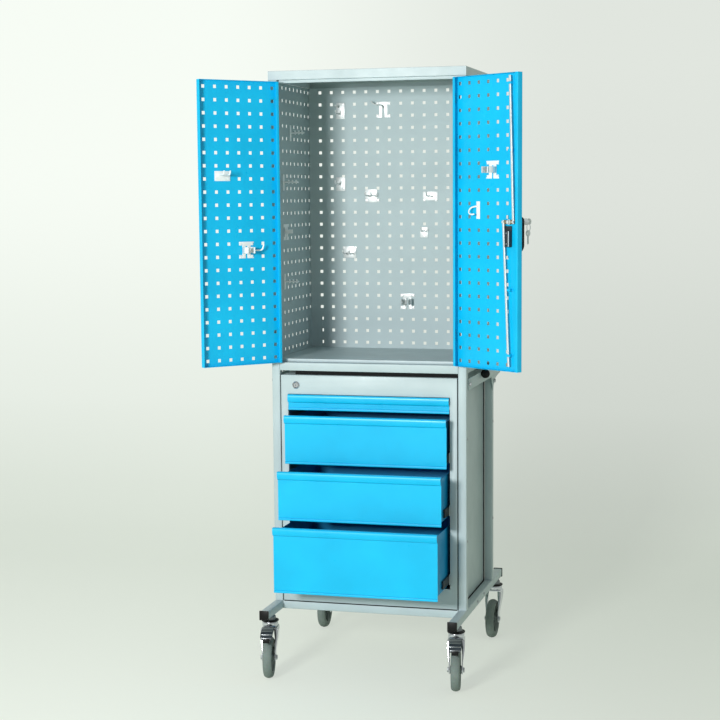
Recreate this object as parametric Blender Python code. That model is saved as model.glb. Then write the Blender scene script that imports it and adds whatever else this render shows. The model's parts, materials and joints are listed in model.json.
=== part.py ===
"""Workshop tool cart: a perforated double-door cabinet over a drawer unit, on a wheeled square-tube frame.

Metres, Z up, front towards -Y. At rest the doors and drawers stand open as in the photograph.
"""

import math

import bpy
import numpy as np
from mathutils import Matrix, Vector

# Overall plan
HALF_WIDTH = 0.300
FRONT_Y = -0.403
REAR_Y = 0.025
CLEAR = 0.0003
SHEET = 0.0015
THIN_SHEET = 0.001

# Wheels and caster heads
WHEEL_RADIUS = 0.0625
WHEEL_HALF_WIDTH = 0.016
WHEEL_HEADROOM = 0.035
TREAD_CROWN = 0.003
TREAD_EDGE = 0.004
TYRE_DEPTH = 0.015
WEB_HALF_WIDTH = 0.006
HUB_HALF_WIDTH = 0.019
WHEEL_HUB_RADIUS = 0.016
AXLE_RADIUS = 0.006
BORE_RADIUS = AXLE_RADIUS + CLEAR
AXLE_HALF = 0.029
NUT_RADIUS = 0.0095
NUT_SIDES = 12
CASTER_TRAIL = 0.038
LEG_INNER = 0.0205
LEG_THICK = 0.003
LEG_TOP_HALF = 0.023
LEG_TIP_HALF = 0.013
LEG_TIP_DROP = 0.0125
LEG_TIP_Z = WHEEL_RADIUS - LEG_TIP_DROP
HEAD_RADIUS = 0.025
HEAD_HEIGHT = 0.018
HEAD_BOTTOM_Z = 2 * WHEEL_RADIUS + WHEEL_HEADROOM
HEAD_TOP_Z = HEAD_BOTTOM_Z + HEAD_HEIGHT
LEG_TOP_Z = HEAD_BOTTOM_Z + LEG_THICK
STEM_RADIUS = 0.013
STEM_PROUD = 0.0037
STEM_TOP_Z = HEAD_TOP_Z + STEM_PROUD
HEADINGS = {"fl": 11.5, "fr": 10.0, "rl": 3.5, "rr": 0.0}
BRAKE_HALF_WIDTH = LEG_INNER - CLEAR
BRAKE_PIVOT_Y = -0.033
BRAKE_PIVOT_DROP = 0.004
BRAKE_PIVOT_Z = HEAD_BOTTOM_Z - BRAKE_PIVOT_DROP
BRAKE_YS = (-0.028, -0.060, -0.088, -0.103, -0.107, -0.099, -0.084, -0.058, -0.028)
BRAKE_DROPS = (0.0005, -0.002, 0.010, 0.032, 0.048, 0.049, 0.028, 0.014, 0.009)

# Square-tube frame
TUBE = 0.025
TUBE_WALL = 0.0015
RAIL_FRONT_REACH = 0.144
RAIL_REAR_REACH = 0.146
RAIL_FRONT_Y = FRONT_Y - RAIL_FRONT_REACH
RAIL_REAR_Y = REAR_Y + RAIL_REAR_REACH
RAIL_TOP_Z = STEM_TOP_Z + CLEAR + TUBE
FRAME_TOP_Z = 0.9424
CASTER_X = HALF_WIDTH - TUBE / 2
CASTER_FRONT_INSET = 0.055
CASTER_REAR_INSET = 0.057
CASTER_FRONT_Y = RAIL_FRONT_Y + CASTER_FRONT_INSET
CASTER_REAR_Y = RAIL_REAR_Y - CASTER_REAR_INSET

# Cabinet
CABINET_HEIGHT = 0.8663
CABINET_BOTTOM_Z = FRAME_TOP_Z + CLEAR
CABINET_TOP_Z = CABINET_BOTTOM_Z + CABINET_HEIGHT
FASCIA_HEIGHT = 0.0265
STOP_LIP_DROP = 0.0085
STOP_LIP_BOTTOM_Z = CABINET_TOP_Z - FASCIA_HEIGHT - STOP_LIP_DROP
STOP_DEPTH = 0.019
STOP_Y = FRONT_Y + STOP_DEPTH
JAMB_WIDTH = 0.027
JAMB_DEPTH = 0.023
FLOOR_RAISE = 0.0093
FLOOR_TOP_Z = CABINET_BOTTOM_Z + FLOOR_RAISE
BACK_INSET = 0.022
BACK_Y = REAR_Y - BACK_INSET
CABINET_SIDE_GAP = SHEET + CLEAR

# Perforation
PITCH = 0.038
HOLE = 0.0096
ROWS = 22
BACK_COLUMNS = 15
BACK_EDGE = 0.039
BACK_FIRST_X = -HALF_WIDTH + BACK_EDGE
BACK_ROW_DROP = 0.041
BACK_TOP_ROW_Z = CABINET_TOP_Z - BACK_ROW_DROP
DOOR_COLUMNS = 7
DOOR_ROW_DROP = 0.0187
DOOR_FIRST_COLUMN = 0.0166

# Doors, measured from the hinge axis: along the door, and in from its outer side
HINGE_INSET = 0.028
HINGE_PROUD = 0.003
HINGE_X = HALF_WIDTH - HINGE_INSET
HINGE_Y = FRONT_Y - HINGE_PROUD
LEFT_DOOR_OPEN = math.radians(132.3)
RIGHT_DOOR_OPEN = math.radians(145.94)
DOOR_TOP_CLEAR = 0.006
DOOR_BOTTOM_Z = FRAME_TOP_Z + 2 * CLEAR
DOOR_TOP_Z = CABINET_TOP_Z - FASCIA_HEIGHT - DOOR_TOP_CLEAR
DOOR_TOP_ROW_Z = DOOR_TOP_Z - DOOR_ROW_DROP
DOOR_START = 0.0032
LEFT_DOOR_SHORT = 0.007
RIGHT_DOOR_SHORT = 0.009
LEFT_DOOR_END = HINGE_X - LEFT_DOOR_SHORT
RIGHT_DOOR_END = HINGE_X - RIGHT_DOOR_SHORT
SKIN_OUT = 0.0004
FLANGE_IN = 0.0184
RETURN_LIP = 0.010
HINGE_PIN_RADIUS = 0.0029
HINGE_HEIGHT = 0.035
HINGE_LOW_RAISE = 0.0723
HINGE_HIGH_DROP = 0.111
HINGE_LOW_Z = CABINET_BOTTOM_Z + HINGE_LOW_RAISE
HINGE_HIGH_Z = CABINET_TOP_Z - HINGE_HIGH_DROP
LEAF_WIDTH = 0.016
LEAF_THICK = 0.0012

# Rod lock inside the right door
LOCK_EDGE = 0.043
LOCK_RAISE = 0.421
LOCK_AT = RIGHT_DOOR_END - LOCK_EDGE
LOCK_Z = DOOR_BOTTOM_Z + LOCK_RAISE
SHAFT_RADIUS = 0.005
SHAFT_HOLE_HALF = SHAFT_RADIUS + THIN_SHEET
CAM_HALF_LENGTH = 0.0235
CAM_HALF_HEIGHT = 0.0055
CAM_IN = 0.0063
CAM_THICK = 0.003
ROD_IN = CAM_IN + CAM_THICK + CLEAR
ROD_THICK = 0.004
ROD_HALF_WIDTH = 0.0035
ROD_ARM = 0.0195
ROD_TOP_LEAN = 0.0055
ROD_BOTTOM_LEAN = 0.0025
ROD_TOP_AT = LOCK_AT + ROD_TOP_LEAN
ROD_BOTTOM_AT = LOCK_AT + ROD_BOTTOM_LEAN
ROD_TOP_SHORT = 0.007
ROD_BOTTOM_SHORT = 0.0135
ROD_TOP_Z = DOOR_TOP_Z - ROD_TOP_SHORT
ROD_BOTTOM_Z = DOOR_BOTTOM_Z + ROD_BOTTOM_SHORT
ROD_PAST_PIN = 0.005
ROD_PORT_HALF = 0.009
HOUSING_NEAR = 0.006
HOUSING_WIDTH = 0.018
HOUSING_DROP = 0.0115
HOUSING_HEIGHT = 0.0585
HOUSING_END = LOCK_AT - HOUSING_NEAR
HOUSING_START = HOUSING_END - HOUSING_WIDTH
HOUSING_TOP_Z = LOCK_Z - HOUSING_DROP
HOUSING_BOTTOM_Z = HOUSING_TOP_Z - HOUSING_HEIGHT
HOUSING_IN = SKIN_OUT + THIN_SHEET + CLEAR
HOUSING_OUT = CAM_IN - CLEAR
PORT_CATCH_SHIFT = 0.0005
PORT_CATCH_X = HINGE_X - ROD_BOTTOM_AT + PORT_CATCH_SHIFT

# Swing handle outside the right door
PLATE_HALF_WIDTH = 0.0125
PLATE_ABOVE = 0.021
PLATE_BELOW = 0.102
PLATE_TOP_Z = LOCK_Z + PLATE_ABOVE
PLATE_BOTTOM_Z = LOCK_Z - PLATE_BELOW
PLATE_THICK = 0.004
HUB_RADIUS = 0.0085
LEVER_OUT = 0.045
LEVER_NEAR = 0.033
LEVER_HALF_WIDTH = 0.008
LEVER_TIP_HALF_WIDTH = 0.005
LEVER_ABOVE = 0.011
LEVER_BELOW = 0.090
LEVER_TAPER = 0.025
LEVER_JOIN = 0.0012

# Drawer unit
UNIT_SIDE_GAP = 0.003
UNIT_HALF_WIDTH = HALF_WIDTH - TUBE - UNIT_SIDE_GAP
UNIT_DROP = 0.0384
UNIT_RAISE = 0.0005
UNIT_TOP_Z = FRAME_TOP_Z - UNIT_DROP
UNIT_BOTTOM_Z = RAIL_TOP_Z + UNIT_RAISE
UNIT_BACK_Y = -SHEET
SIDE_STRIP = 0.022
OPENING_HALF = UNIT_HALF_WIDTH - SIDE_STRIP
TOP_STRIP_HEIGHT = 0.057
BOTTOM_STRIP_HEIGHT = 0.0625
TOP_STRIP_BOTTOM_Z = UNIT_TOP_Z - TOP_STRIP_HEIGHT
BOTTOM_STRIP_TOP_Z = UNIT_BOTTOM_Z + BOTTOM_STRIP_HEIGHT
STRIP_RETURN = 0.012
DRAWER_TOP_SHARES = (1.0, 518 / 577, 359 / 577, 200 / 577)
DRAWER_BOTTOM_SHARES = (527 / 577, 368 / 577, 209 / 577, 0.0)
OPENING_HEIGHT = TOP_STRIP_BOTTOM_Z - BOTTOM_STRIP_TOP_Z
DRAWER_TOPS = tuple(BOTTOM_STRIP_TOP_Z + share * OPENING_HEIGHT for share in DRAWER_TOP_SHARES)
DRAWER_BOTTOMS = tuple(BOTTOM_STRIP_TOP_Z + share * OPENING_HEIGHT for share in DRAWER_BOTTOM_SHARES)
DRAWER_PULLS = (0.0, 0.040, 0.112, 0.163)
DRAWER_GAP = 0.0012
FRONT_PLATE_PROUD = 0.0015
FRONT_PLATE_Y = FRONT_Y - FRONT_PLATE_PROUD
FRONT_PLATE_THICK = 0.0015
FRONT_HALF_WIDTH = OPENING_HALF - DRAWER_GAP
LIP_HEIGHT = 0.024
LIP_PROUD = 0.011
LIP_OUT_SHARES = (0.55, 0.88, 1.0, 0.90, 0.66)
LIP_DOWN_SHARES = (0.80, 0.52, 0.27, 0.10, 0.0)
FOLD_HEIGHT = 0.006
FOLD_PROUD = 0.0012
BOX_SIDE_GAP = 0.010
BOX_REAR_GAP = 0.0265
BOX_HALF_WIDTH = OPENING_HALF - BOX_SIDE_GAP
BOX_REAR_Y = UNIT_BACK_Y - BOX_REAR_GAP
BOX_RAISE = 0.008
BOX_LOWER = 0.013
SLIDE_THICK = 0.0058
SLIDE_HEIGHT = 0.024
SLIDE_REAR_GAP = 0.0125
SLIDE_FRONT_GAP = 0.005
SLIDE_REAR_Y = UNIT_BACK_Y - SLIDE_REAR_GAP
SLIDE_FRONT_Y = FRONT_Y + SLIDE_FRONT_GAP
GUIDE_THICK = 0.006
GUIDE_HEIGHT = 0.030
SLIDE_RAISE = 0.009
UNIT_LOCK_EDGE = 0.0475
UNIT_LOCK_DROP = 0.030
UNIT_LOCK_X = -UNIT_HALF_WIDTH + UNIT_LOCK_EDGE
UNIT_LOCK_Z = UNIT_TOP_Z - UNIT_LOCK_DROP
UNIT_LOCK_RADIUS = 0.0115
UNIT_LOCK_BARREL_RADIUS = 0.0076
UNIT_LOCK_HOLE_HALF = 0.008
UNIT_LOCK_PROUD = 0.003
UNIT_LOCK_BARREL = 0.020

# Push handle behind the rear posts and its brackets
HANDLE_RADIUS = 0.014
HANDLE_WALL = 0.0015
HANDLE_DROP = 0.0439
HANDLE_REACH = 0.014
HANDLE_GRIP_LENGTH = 0.201
HANDLE_Z = FRAME_TOP_Z - HANDLE_DROP
HANDLE_START_Y = FRONT_Y + HANDLE_GRIP_LENGTH
HANDLE_REAR_Y = RAIL_REAR_Y + HANDLE_REACH
HANDLE_BEND = 0.060
BRACKET_THICK = 0.003
BRACKET_INSET = 0.023
BRACKET_DROP = 0.0404
BRACKET_STRAP = 0.034
BRACKET_FRONT_Y = FRONT_Y + BRACKET_INSET
BRACKET_TOP_Z = FRAME_TOP_Z - BRACKET_DROP
BRACKET_STRAP_Z = BRACKET_TOP_Z - BRACKET_STRAP
BRACKET_CURVE_YS = (0.0045, 0.009, 0.0217, 0.0473, 0.0854, 0.122)
BRACKET_CURVE_DROPS = (0.077, 0.066, 0.0545, 0.0416, 0.036, 0.033)

COLOURS = {
    "grey_paint": (0.50, 0.53, 0.53, 1.0),
    "blue_paint": (0.03, 0.42, 0.86, 1.0),
    "zinc": (0.62, 0.63, 0.64, 1.0),
    "chrome": (0.72, 0.73, 0.74, 1.0),
    "brass": (0.55, 0.47, 0.28, 1.0),
    "black_plastic": (0.02, 0.02, 0.022, 1.0),
    "grey_plastic": (0.28, 0.30, 0.30, 1.0),
    "grey_rubber": (0.16, 0.17, 0.17, 1.0),
}
METALLIC = {"zinc", "chrome", "brass"}
BOLD_CURVE_STEPS = 30
FINE_CURVE_STEPS = 16
BEND_STEPS = 5
SMOOTH_ANGLE = math.radians(30)

for old in list(bpy.data.objects):
    bpy.data.objects.remove(old)


def box(x0, x1, y0, y1, z0, z1):
    return (min(x0, x1), max(x0, x1), min(y0, y1), max(y0, y1), min(z0, z1), max(z0, z1))


def cells(adds, cuts=()):
    """One closed surface round the union of upright boxes, less the boxes cut from it."""
    grids = []
    for axis in range(3):
        ends = {round(b[2 * axis + side], 7) for b in [*adds, *cuts] for side in (0, 1)}
        grids.append(sorted(ends))
    index = [{value: i for i, value in enumerate(grid)} for grid in grids]
    full = np.zeros([len(grid) + 1 for grid in grids], bool)
    for boxes, state in ((adds, True), (cuts, False)):
        for b in boxes:
            low = [index[a][round(b[2 * a], 7)] + 1 for a in range(3)]
            high = [index[a][round(b[2 * a + 1], 7)] + 1 for a in range(3)]
            full[low[0]:high[0], low[1]:high[1], low[2]:high[2]] = state
    points = {}
    faces = []
    for axis in range(3):
        others = [(axis + 1) % 3, (axis + 2) % 3]
        near = np.take(full, range(0, full.shape[axis] - 1), axis)
        far = np.take(full, range(1, full.shape[axis]), axis)
        for place in np.argwhere(near != far):
            outward = bool(near[tuple(place)])
            corner = [int(i) - 1 for i in place]
            corner[axis] = int(place[axis])
            loop = []
            for du, dv in ((0, 0), (1, 0), (1, 1), (0, 1)):
                at = list(corner)
                at[others[0]] += du
                at[others[1]] += dv
                loop.append(points.setdefault(tuple(at), len(points)))
            faces.append(loop if outward else loop[::-1])
    verts = [tuple(grids[a][at[a]] for a in range(3)) for at in points]
    return verts, faces


def prism(outline, axis, low, high):
    """An outline extruded along an axis. Outline points are in the two other axes, in order."""
    count = len(outline)
    verts = []
    for level in (low, high):
        for p, q in outline:
            point = [p, q]
            point.insert(axis, level)
            verts.append(tuple(point))
    area = sum(
        outline[i][0] * outline[(i + 1) % count][1] - outline[(i + 1) % count][0] * outline[i][1]
        for i in range(count)
    )
    turned = (area > 0) != (axis == 1)
    faces = [list(range(count))[::-1], list(range(count, 2 * count))]
    for i in range(count):
        j = (i + 1) % count
        faces.append([i, j, count + j, count + i])
    return verts, faces if turned else [face[::-1] for face in faces]


def disc(axis, centre, radius, low, high, steps=FINE_CURVE_STEPS):
    outline = []
    for i in range(steps):
        angle = 2 * math.pi * (i + 1 / 2) / steps
        outline.append((centre[0] + radius * math.cos(angle), centre[1] + radius * math.sin(angle)))
    return prism(outline, axis, low, high)


def ring_body(profile, steps):
    """A profile of (along X, radius) turned round the X axis, with a flat on the underside."""
    verts = []
    for i in range(steps):
        angle = 2 * math.pi * (i + 1 / 2) / steps
        for along, radius in profile:
            verts.append((along, radius * math.sin(angle), -radius * math.cos(angle)))
    count = len(profile)
    faces = []
    for i in range(steps):
        for k in range(count):
            a, b = i * count + k, i * count + (k + 1) % count
            c, d = ((i + 1) % steps) * count + (k + 1) % count, ((i + 1) % steps) * count + k
            faces.append([a, b, c, d])
    return verts, faces


def pipe(path, radius, wall, steps):
    """An open-ended round tube along a path of points that lie level."""
    verts = []
    count = len(path)
    for i, point in enumerate(path):
        before = Vector(path[max(i - 1, 0)])
        after = Vector(path[min(i + 1, count - 1)])
        along = (after - before).normalized()
        side = along.cross(Vector((0, 0, 1))).normalized()
        stretch = 1.0
        if 0 < i < count - 1:
            turn = (Vector(point) - before).angle(after - Vector(point))
            stretch = 1 / math.cos(turn / 2)
        for r in (radius, radius - wall):
            for k in range(steps):
                angle = 2 * math.pi * k / steps
                offset = side * (r * stretch * math.cos(angle)) + Vector((0, 0, r * math.sin(angle)))
                verts.append(tuple(Vector(point) + offset))
    faces = []
    ring = 2 * steps
    for i in range(count - 1):
        for k in range(steps):
            j = (k + 1) % steps
            a, b = i * ring + k, i * ring + j
            c, d = (i + 1) * ring + j, (i + 1) * ring + k
            faces.append([a, b, c, d])
            faces.append([a + steps, d + steps, c + steps, b + steps])
    last = (count - 1) * ring
    for k in range(steps):
        j = (k + 1) % steps
        faces.append([k, steps + k, steps + j, j])
        faces.append([last + k, last + j, last + steps + j, last + steps + k])
    return verts, faces


def fresh_mesh(name, shape):
    mesh = bpy.data.meshes.new(name)
    mesh.from_pydata(shape[0], [], shape[1])
    mesh.update()
    volume = 0.0
    for polygon in mesh.polygons:
        corners = [mesh.vertices[i].co for i in polygon.vertices]
        for k in range(1, len(corners) - 1):
            volume += corners[0].dot(corners[k].cross(corners[k + 1]))
    if volume < 0:
        mesh.flip_normals()
    return mesh


def joined(name, shapes):
    """The union of several closed shapes as one mesh."""
    base = bpy.data.objects.new(name + "_base", fresh_mesh(name, shapes[0]))
    bpy.context.scene.collection.objects.link(base)
    extra = []
    for shape in shapes[1:]:
        other = bpy.data.objects.new(name + "_extra", fresh_mesh(name + "_extra", shape))
        bpy.context.scene.collection.objects.link(other)
        other.hide_render = True
        other.display_type = "WIRE"
        extra.append(other)
        fuse = base.modifiers.new("Fuse", "BOOLEAN")
        fuse.operation = "UNION"
        fuse.solver = "EXACT"
        fuse.object = other
    bpy.context.view_layer.update()
    graph = bpy.context.evaluated_depsgraph_get()
    mesh = bpy.data.meshes.new_from_object(base.evaluated_get(graph))
    for spare in [base, *extra]:
        bpy.data.objects.remove(spare)
    return mesh


def empty(name, place, parent=None, turn=0.0):
    made = bpy.data.objects.new(name, None)
    bpy.context.scene.collection.objects.link(made)
    made.parent = parent
    made.location = place
    made.rotation_euler = (0, 0, turn)
    return made


def paint(name):
    material = bpy.data.materials.new(name)
    material.use_nodes = True
    shader = material.node_tree.nodes["Principled BSDF"]
    finish = name.split(".")[0]
    shader.inputs["Base Color"].default_value = COLOURS[finish]
    shader.inputs["Metallic"].default_value = 1.0 if finish in METALLIC else 0.0
    shader.inputs["Roughness"].default_value = 0.4
    return material


def node(name, mesh, finish, parent, smooth=False):
    if isinstance(mesh, tuple):
        mesh = fresh_mesh(name, mesh)
    mesh.name = name
    mesh.materials.clear()
    mesh.materials.append(paint(finish + "." + name))
    if smooth:
        for polygon in mesh.polygons:
            polygon.use_smooth = True
        mesh.set_sharp_from_angle(angle=SMOOTH_ANGLE)
    made = bpy.data.objects.new(name, mesh)
    bpy.context.scene.collection.objects.link(made)
    made.parent = parent
    return made


def square_tube(name, axis, spans, parent, ports=()):
    """A hollow square tube, open at both ends, along one axis."""
    outer = box(*spans)
    inner = list(outer)
    for other in range(3):
        if other != axis:
            inner[2 * other] += TUBE_WALL
            inner[2 * other + 1] -= TUBE_WALL
    return node(name, cells([outer], [tuple(inner), *ports]), "grey_paint", parent)


root = empty("cart", (0, 0, 0))
inner_x = HALF_WIDTH - TUBE
rail_bottom = RAIL_TOP_Z - TUBE

# Wheeled base and upright frame
for side, sign in (("left", -1), ("right", 1)):
    spans = (sign * inner_x, sign * HALF_WIDTH, RAIL_FRONT_Y, RAIL_REAR_Y, rail_bottom, RAIL_TOP_Z)
    square_tube("base_rail_" + side, 1, spans, root)
    rail_front = FRONT_Y + TUBE + CLEAR
    top = (sign * inner_x, sign * HALF_WIDTH, rail_front, -CLEAR, FRAME_TOP_Z - TUBE, FRAME_TOP_Z)
    square_tube("top_rail_" + side, 1, top, root)
    for end, low in (("front", FRONT_Y), ("rear", 0.0)):
        post = (sign * inner_x, sign * HALF_WIDTH, low, low + TUBE, RAIL_TOP_Z + CLEAR, FRAME_TOP_Z)
        square_tube("post_" + end + "_" + side, 2, post, root)
cross_half = inner_x - CLEAR
catch = box(
    PORT_CATCH_X - ROD_PORT_HALF, PORT_CATCH_X + ROD_PORT_HALF,
    HINGE_Y + ROD_IN - CLEAR - TUBE_WALL, HINGE_Y + ROD_IN + ROD_THICK + CLEAR + TUBE_WALL,
    FRAME_TOP_Z - TUBE_WALL, FRAME_TOP_Z,
)
for end, low in (("front", FRONT_Y), ("rear", 0.0)):
    base = (-cross_half, cross_half, low, low + TUBE, rail_bottom, RAIL_TOP_Z)
    square_tube("base_cross_" + end, 0, base, root)
    top = (-cross_half, cross_half, low, low + TUBE, FRAME_TOP_Z - TUBE, FRAME_TOP_Z)
    square_tube("top_cross_" + end, 0, top, root, [catch] if end == "front" else ())

# Cabinet
fascia_bottom = CABINET_TOP_Z - FASCIA_HEIGHT
top_port = box(
    PORT_CATCH_X - ROD_PORT_HALF, PORT_CATCH_X + ROD_PORT_HALF,
    HINGE_Y + ROD_IN - CLEAR - SHEET, HINGE_Y + ROD_IN + ROD_THICK + CLEAR + SHEET,
    fascia_bottom, fascia_bottom + SHEET,
)
top_inner = HALF_WIDTH - SHEET
floor_half = HALF_WIDTH - JAMB_WIDTH - CLEAR
node(
    "cabinet_top",
    cells(
        [
            box(-HALF_WIDTH, HALF_WIDTH, FRONT_Y, REAR_Y, CABINET_TOP_Z - SHEET, CABINET_TOP_Z),
            box(-HALF_WIDTH, HALF_WIDTH, FRONT_Y, FRONT_Y + SHEET, fascia_bottom, CABINET_TOP_Z),
            box(-HALF_WIDTH, HALF_WIDTH, REAR_Y - SHEET, REAR_Y, fascia_bottom, CABINET_TOP_Z),
            box(-HALF_WIDTH, -top_inner, FRONT_Y, REAR_Y, fascia_bottom, CABINET_TOP_Z),
            box(top_inner, HALF_WIDTH, FRONT_Y, REAR_Y, fascia_bottom, CABINET_TOP_Z),
            box(-floor_half, floor_half, FRONT_Y, STOP_Y, fascia_bottom, fascia_bottom + SHEET),
            box(-floor_half, floor_half, STOP_Y - SHEET, STOP_Y, STOP_LIP_BOTTOM_Z, fascia_bottom + SHEET),
        ],
        [top_port],
    ),
    "grey_paint",
    root,
)
liner_half = HALF_WIDTH - CABINET_SIDE_GAP
jamb_x = HALF_WIDTH - JAMB_WIDTH
side_top = fascia_bottom - CLEAR
for side, sign in (("left", -1), ("right", 1)):
    skin_x = sign * (HALF_WIDTH - SHEET)
    parts = [
        box(sign * HALF_WIDTH, skin_x, FRONT_Y, REAR_Y, CABINET_BOTTOM_Z, side_top),
        box(sign * HALF_WIDTH, sign * jamb_x, FRONT_Y, FRONT_Y + SHEET, CABINET_BOTTOM_Z, side_top),
        box(
            sign * (jamb_x + SHEET), sign * jamb_x, FRONT_Y, FRONT_Y + JAMB_DEPTH,
            CABINET_BOTTOM_Z, side_top,
        ),
        box(sign * HALF_WIDTH, sign * jamb_x, REAR_Y - SHEET, REAR_Y, CABINET_BOTTOM_Z, side_top),
    ]
    node("cabinet_side_" + side, cells(parts), "grey_paint", root)
node(
    "cabinet_floor",
    cells(
        [
            box(-floor_half, floor_half, STOP_Y, BACK_Y - CLEAR, FLOOR_TOP_Z - SHEET, FLOOR_TOP_Z),
            box(
                -liner_half, liner_half, FRONT_Y + JAMB_DEPTH + CLEAR, BACK_Y - CLEAR,
                FLOOR_TOP_Z - SHEET, FLOOR_TOP_Z,
            ),
            box(-floor_half, floor_half, STOP_Y, STOP_Y + SHEET, CABINET_BOTTOM_Z, FLOOR_TOP_Z),
            box(
                -liner_half, liner_half, BACK_Y - CLEAR - SHEET, BACK_Y - CLEAR,
                CABINET_BOTTOM_Z, FLOOR_TOP_Z,
            ),
        ]
    ),
    "grey_paint",
    root,
)
half_hole = HOLE / 2
back_holes = []
for i in range(BACK_COLUMNS):
    for k in range(ROWS):
        x, z = BACK_FIRST_X + i * PITCH, BACK_TOP_ROW_Z - k * PITCH
        back_holes.append(
            box(x - half_hole, x + half_hole, BACK_Y, BACK_Y + THIN_SHEET, z - half_hole, z + half_hole)
        )
node(
    "cabinet_back",
    cells(
        [box(-liner_half, liner_half, BACK_Y, BACK_Y + THIN_SHEET, CABINET_BOTTOM_Z, side_top)],
        back_holes,
    ),
    "grey_paint",
    root,
)

# Doors, hinge pins and rod lock
skin_in = SKIN_OUT + THIN_SHEET


def door_mesh(end, sign, lip, extra_cuts):
    """A folded pan: skin, a flange on each edge and, on one door, a return lip at the free edge."""
    flange = FLANGE_IN - THIN_SHEET
    adds = [
        box(sign * DOOR_START, sign * end, SKIN_OUT, skin_in, DOOR_BOTTOM_Z, DOOR_TOP_Z),
        box(
            sign * DOOR_START, sign * (DOOR_START + THIN_SHEET), SKIN_OUT, FLANGE_IN,
            DOOR_BOTTOM_Z, DOOR_TOP_Z,
        ),
        box(sign * (end - THIN_SHEET), sign * end, SKIN_OUT, FLANGE_IN, DOOR_BOTTOM_Z, DOOR_TOP_Z),
        box(sign * DOOR_START, sign * end, SKIN_OUT, flange, DOOR_TOP_Z - THIN_SHEET, DOOR_TOP_Z),
        box(sign * DOOR_START, sign * end, SKIN_OUT, flange, DOOR_BOTTOM_Z, DOOR_BOTTOM_Z + THIN_SHEET),
    ]
    if lip:
        adds.append(
            box(sign * (end - lip), sign * end, FLANGE_IN - THIN_SHEET, FLANGE_IN, DOOR_BOTTOM_Z, DOOR_TOP_Z)
        )
    holes = list(extra_cuts)
    for i in range(DOOR_COLUMNS):
        for k in range(ROWS):
            x, z = sign * (DOOR_FIRST_COLUMN + i * PITCH), DOOR_TOP_ROW_Z - k * PITCH
            holes.append(box(x - half_hole, x + half_hole, SKIN_OUT, skin_in, z - half_hole, z + half_hole))
    return cells(adds, holes)


left_door = empty("left_door_axis", (-HINGE_X, HINGE_Y, 0), root, -LEFT_DOOR_OPEN)
right_door = empty("right_door_axis", (HINGE_X, HINGE_Y, 0), root, RIGHT_DOOR_OPEN)
node("door_left", door_mesh(LEFT_DOOR_END, 1, 0, []), "blue_paint", left_door)
port_in = ROD_IN - SHEET
port_out = ROD_IN + ROD_THICK + SHEET
right_cuts = [
    box(
        -(LOCK_AT - SHAFT_HOLE_HALF), -(LOCK_AT + SHAFT_HOLE_HALF), SKIN_OUT, skin_in,
        LOCK_Z - SHAFT_HOLE_HALF, LOCK_Z + SHAFT_HOLE_HALF,
    ),
    box(
        -(ROD_TOP_AT - ROD_PORT_HALF), -(ROD_TOP_AT + ROD_PORT_HALF), port_in, port_out,
        DOOR_TOP_Z - THIN_SHEET, DOOR_TOP_Z,
    ),
    box(
        -(ROD_BOTTOM_AT - ROD_PORT_HALF), -(ROD_BOTTOM_AT + ROD_PORT_HALF), port_in, port_out,
        DOOR_BOTTOM_Z, DOOR_BOTTOM_Z + THIN_SHEET,
    ),
]
node("door_right", door_mesh(RIGHT_DOOR_END, -1, RETURN_LIP, right_cuts), "blue_paint", right_door)
for side, sign in (("left", -1), ("right", 1)):
    for level, low in (("lower", HINGE_LOW_Z), ("upper", HINGE_HIGH_Z)):
        x = sign * HINGE_X
        leaf = cells(
            [
                box(
                    x + sign * HINGE_PIN_RADIUS / 2, x + sign * LEAF_WIDTH,
                    FRONT_Y - CLEAR - LEAF_THICK, FRONT_Y - CLEAR, low, low + HINGE_HEIGHT,
                )
            ]
        )
        pin = disc(2, (x, HINGE_Y), HINGE_PIN_RADIUS, low - CLEAR, low + HINGE_HEIGHT + CLEAR)
        node("hinge_" + level + "_" + side, joined("hinge", [pin, leaf]), "zinc", root, True)

node(
    "lock_housing",
    cells([box(-HOUSING_START, -HOUSING_END, HOUSING_IN, HOUSING_OUT, HOUSING_BOTTOM_Z, HOUSING_TOP_Z)]),
    "grey_plastic",
    right_door,
)
lock_turn = empty("lock_axis", (-LOCK_AT, 0, LOCK_Z), right_door)
cam_outline = [
    (-CAM_HALF_LENGTH, -CAM_HALF_HEIGHT / 2),
    (-CAM_HALF_LENGTH + CAM_HALF_HEIGHT / 2, -CAM_HALF_HEIGHT),
    (CAM_HALF_LENGTH - CAM_HALF_HEIGHT / 2, -CAM_HALF_HEIGHT),
    (CAM_HALF_LENGTH, -CAM_HALF_HEIGHT / 2),
    (CAM_HALF_LENGTH, CAM_HALF_HEIGHT / 2),
    (CAM_HALF_LENGTH - CAM_HALF_HEIGHT / 2, CAM_HALF_HEIGHT),
    (-CAM_HALF_LENGTH + CAM_HALF_HEIGHT / 2, CAM_HALF_HEIGHT),
    (-CAM_HALF_LENGTH, CAM_HALF_HEIGHT / 2),
]
node("lock_cam", prism(cam_outline, 1, CAM_IN, CAM_IN + CAM_THICK), "brass", lock_turn)
lever_outline = [
    (-LEVER_HALF_WIDTH, LEVER_ABOVE),
    (-LEVER_HALF_WIDTH, LEVER_TAPER - LEVER_BELOW),
    (-LEVER_TIP_HALF_WIDTH, -LEVER_BELOW),
    (LEVER_TIP_HALF_WIDTH, -LEVER_BELOW),
    (LEVER_HALF_WIDTH, LEVER_TAPER - LEVER_BELOW),
    (LEVER_HALF_WIDTH, LEVER_ABOVE),
]
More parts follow.
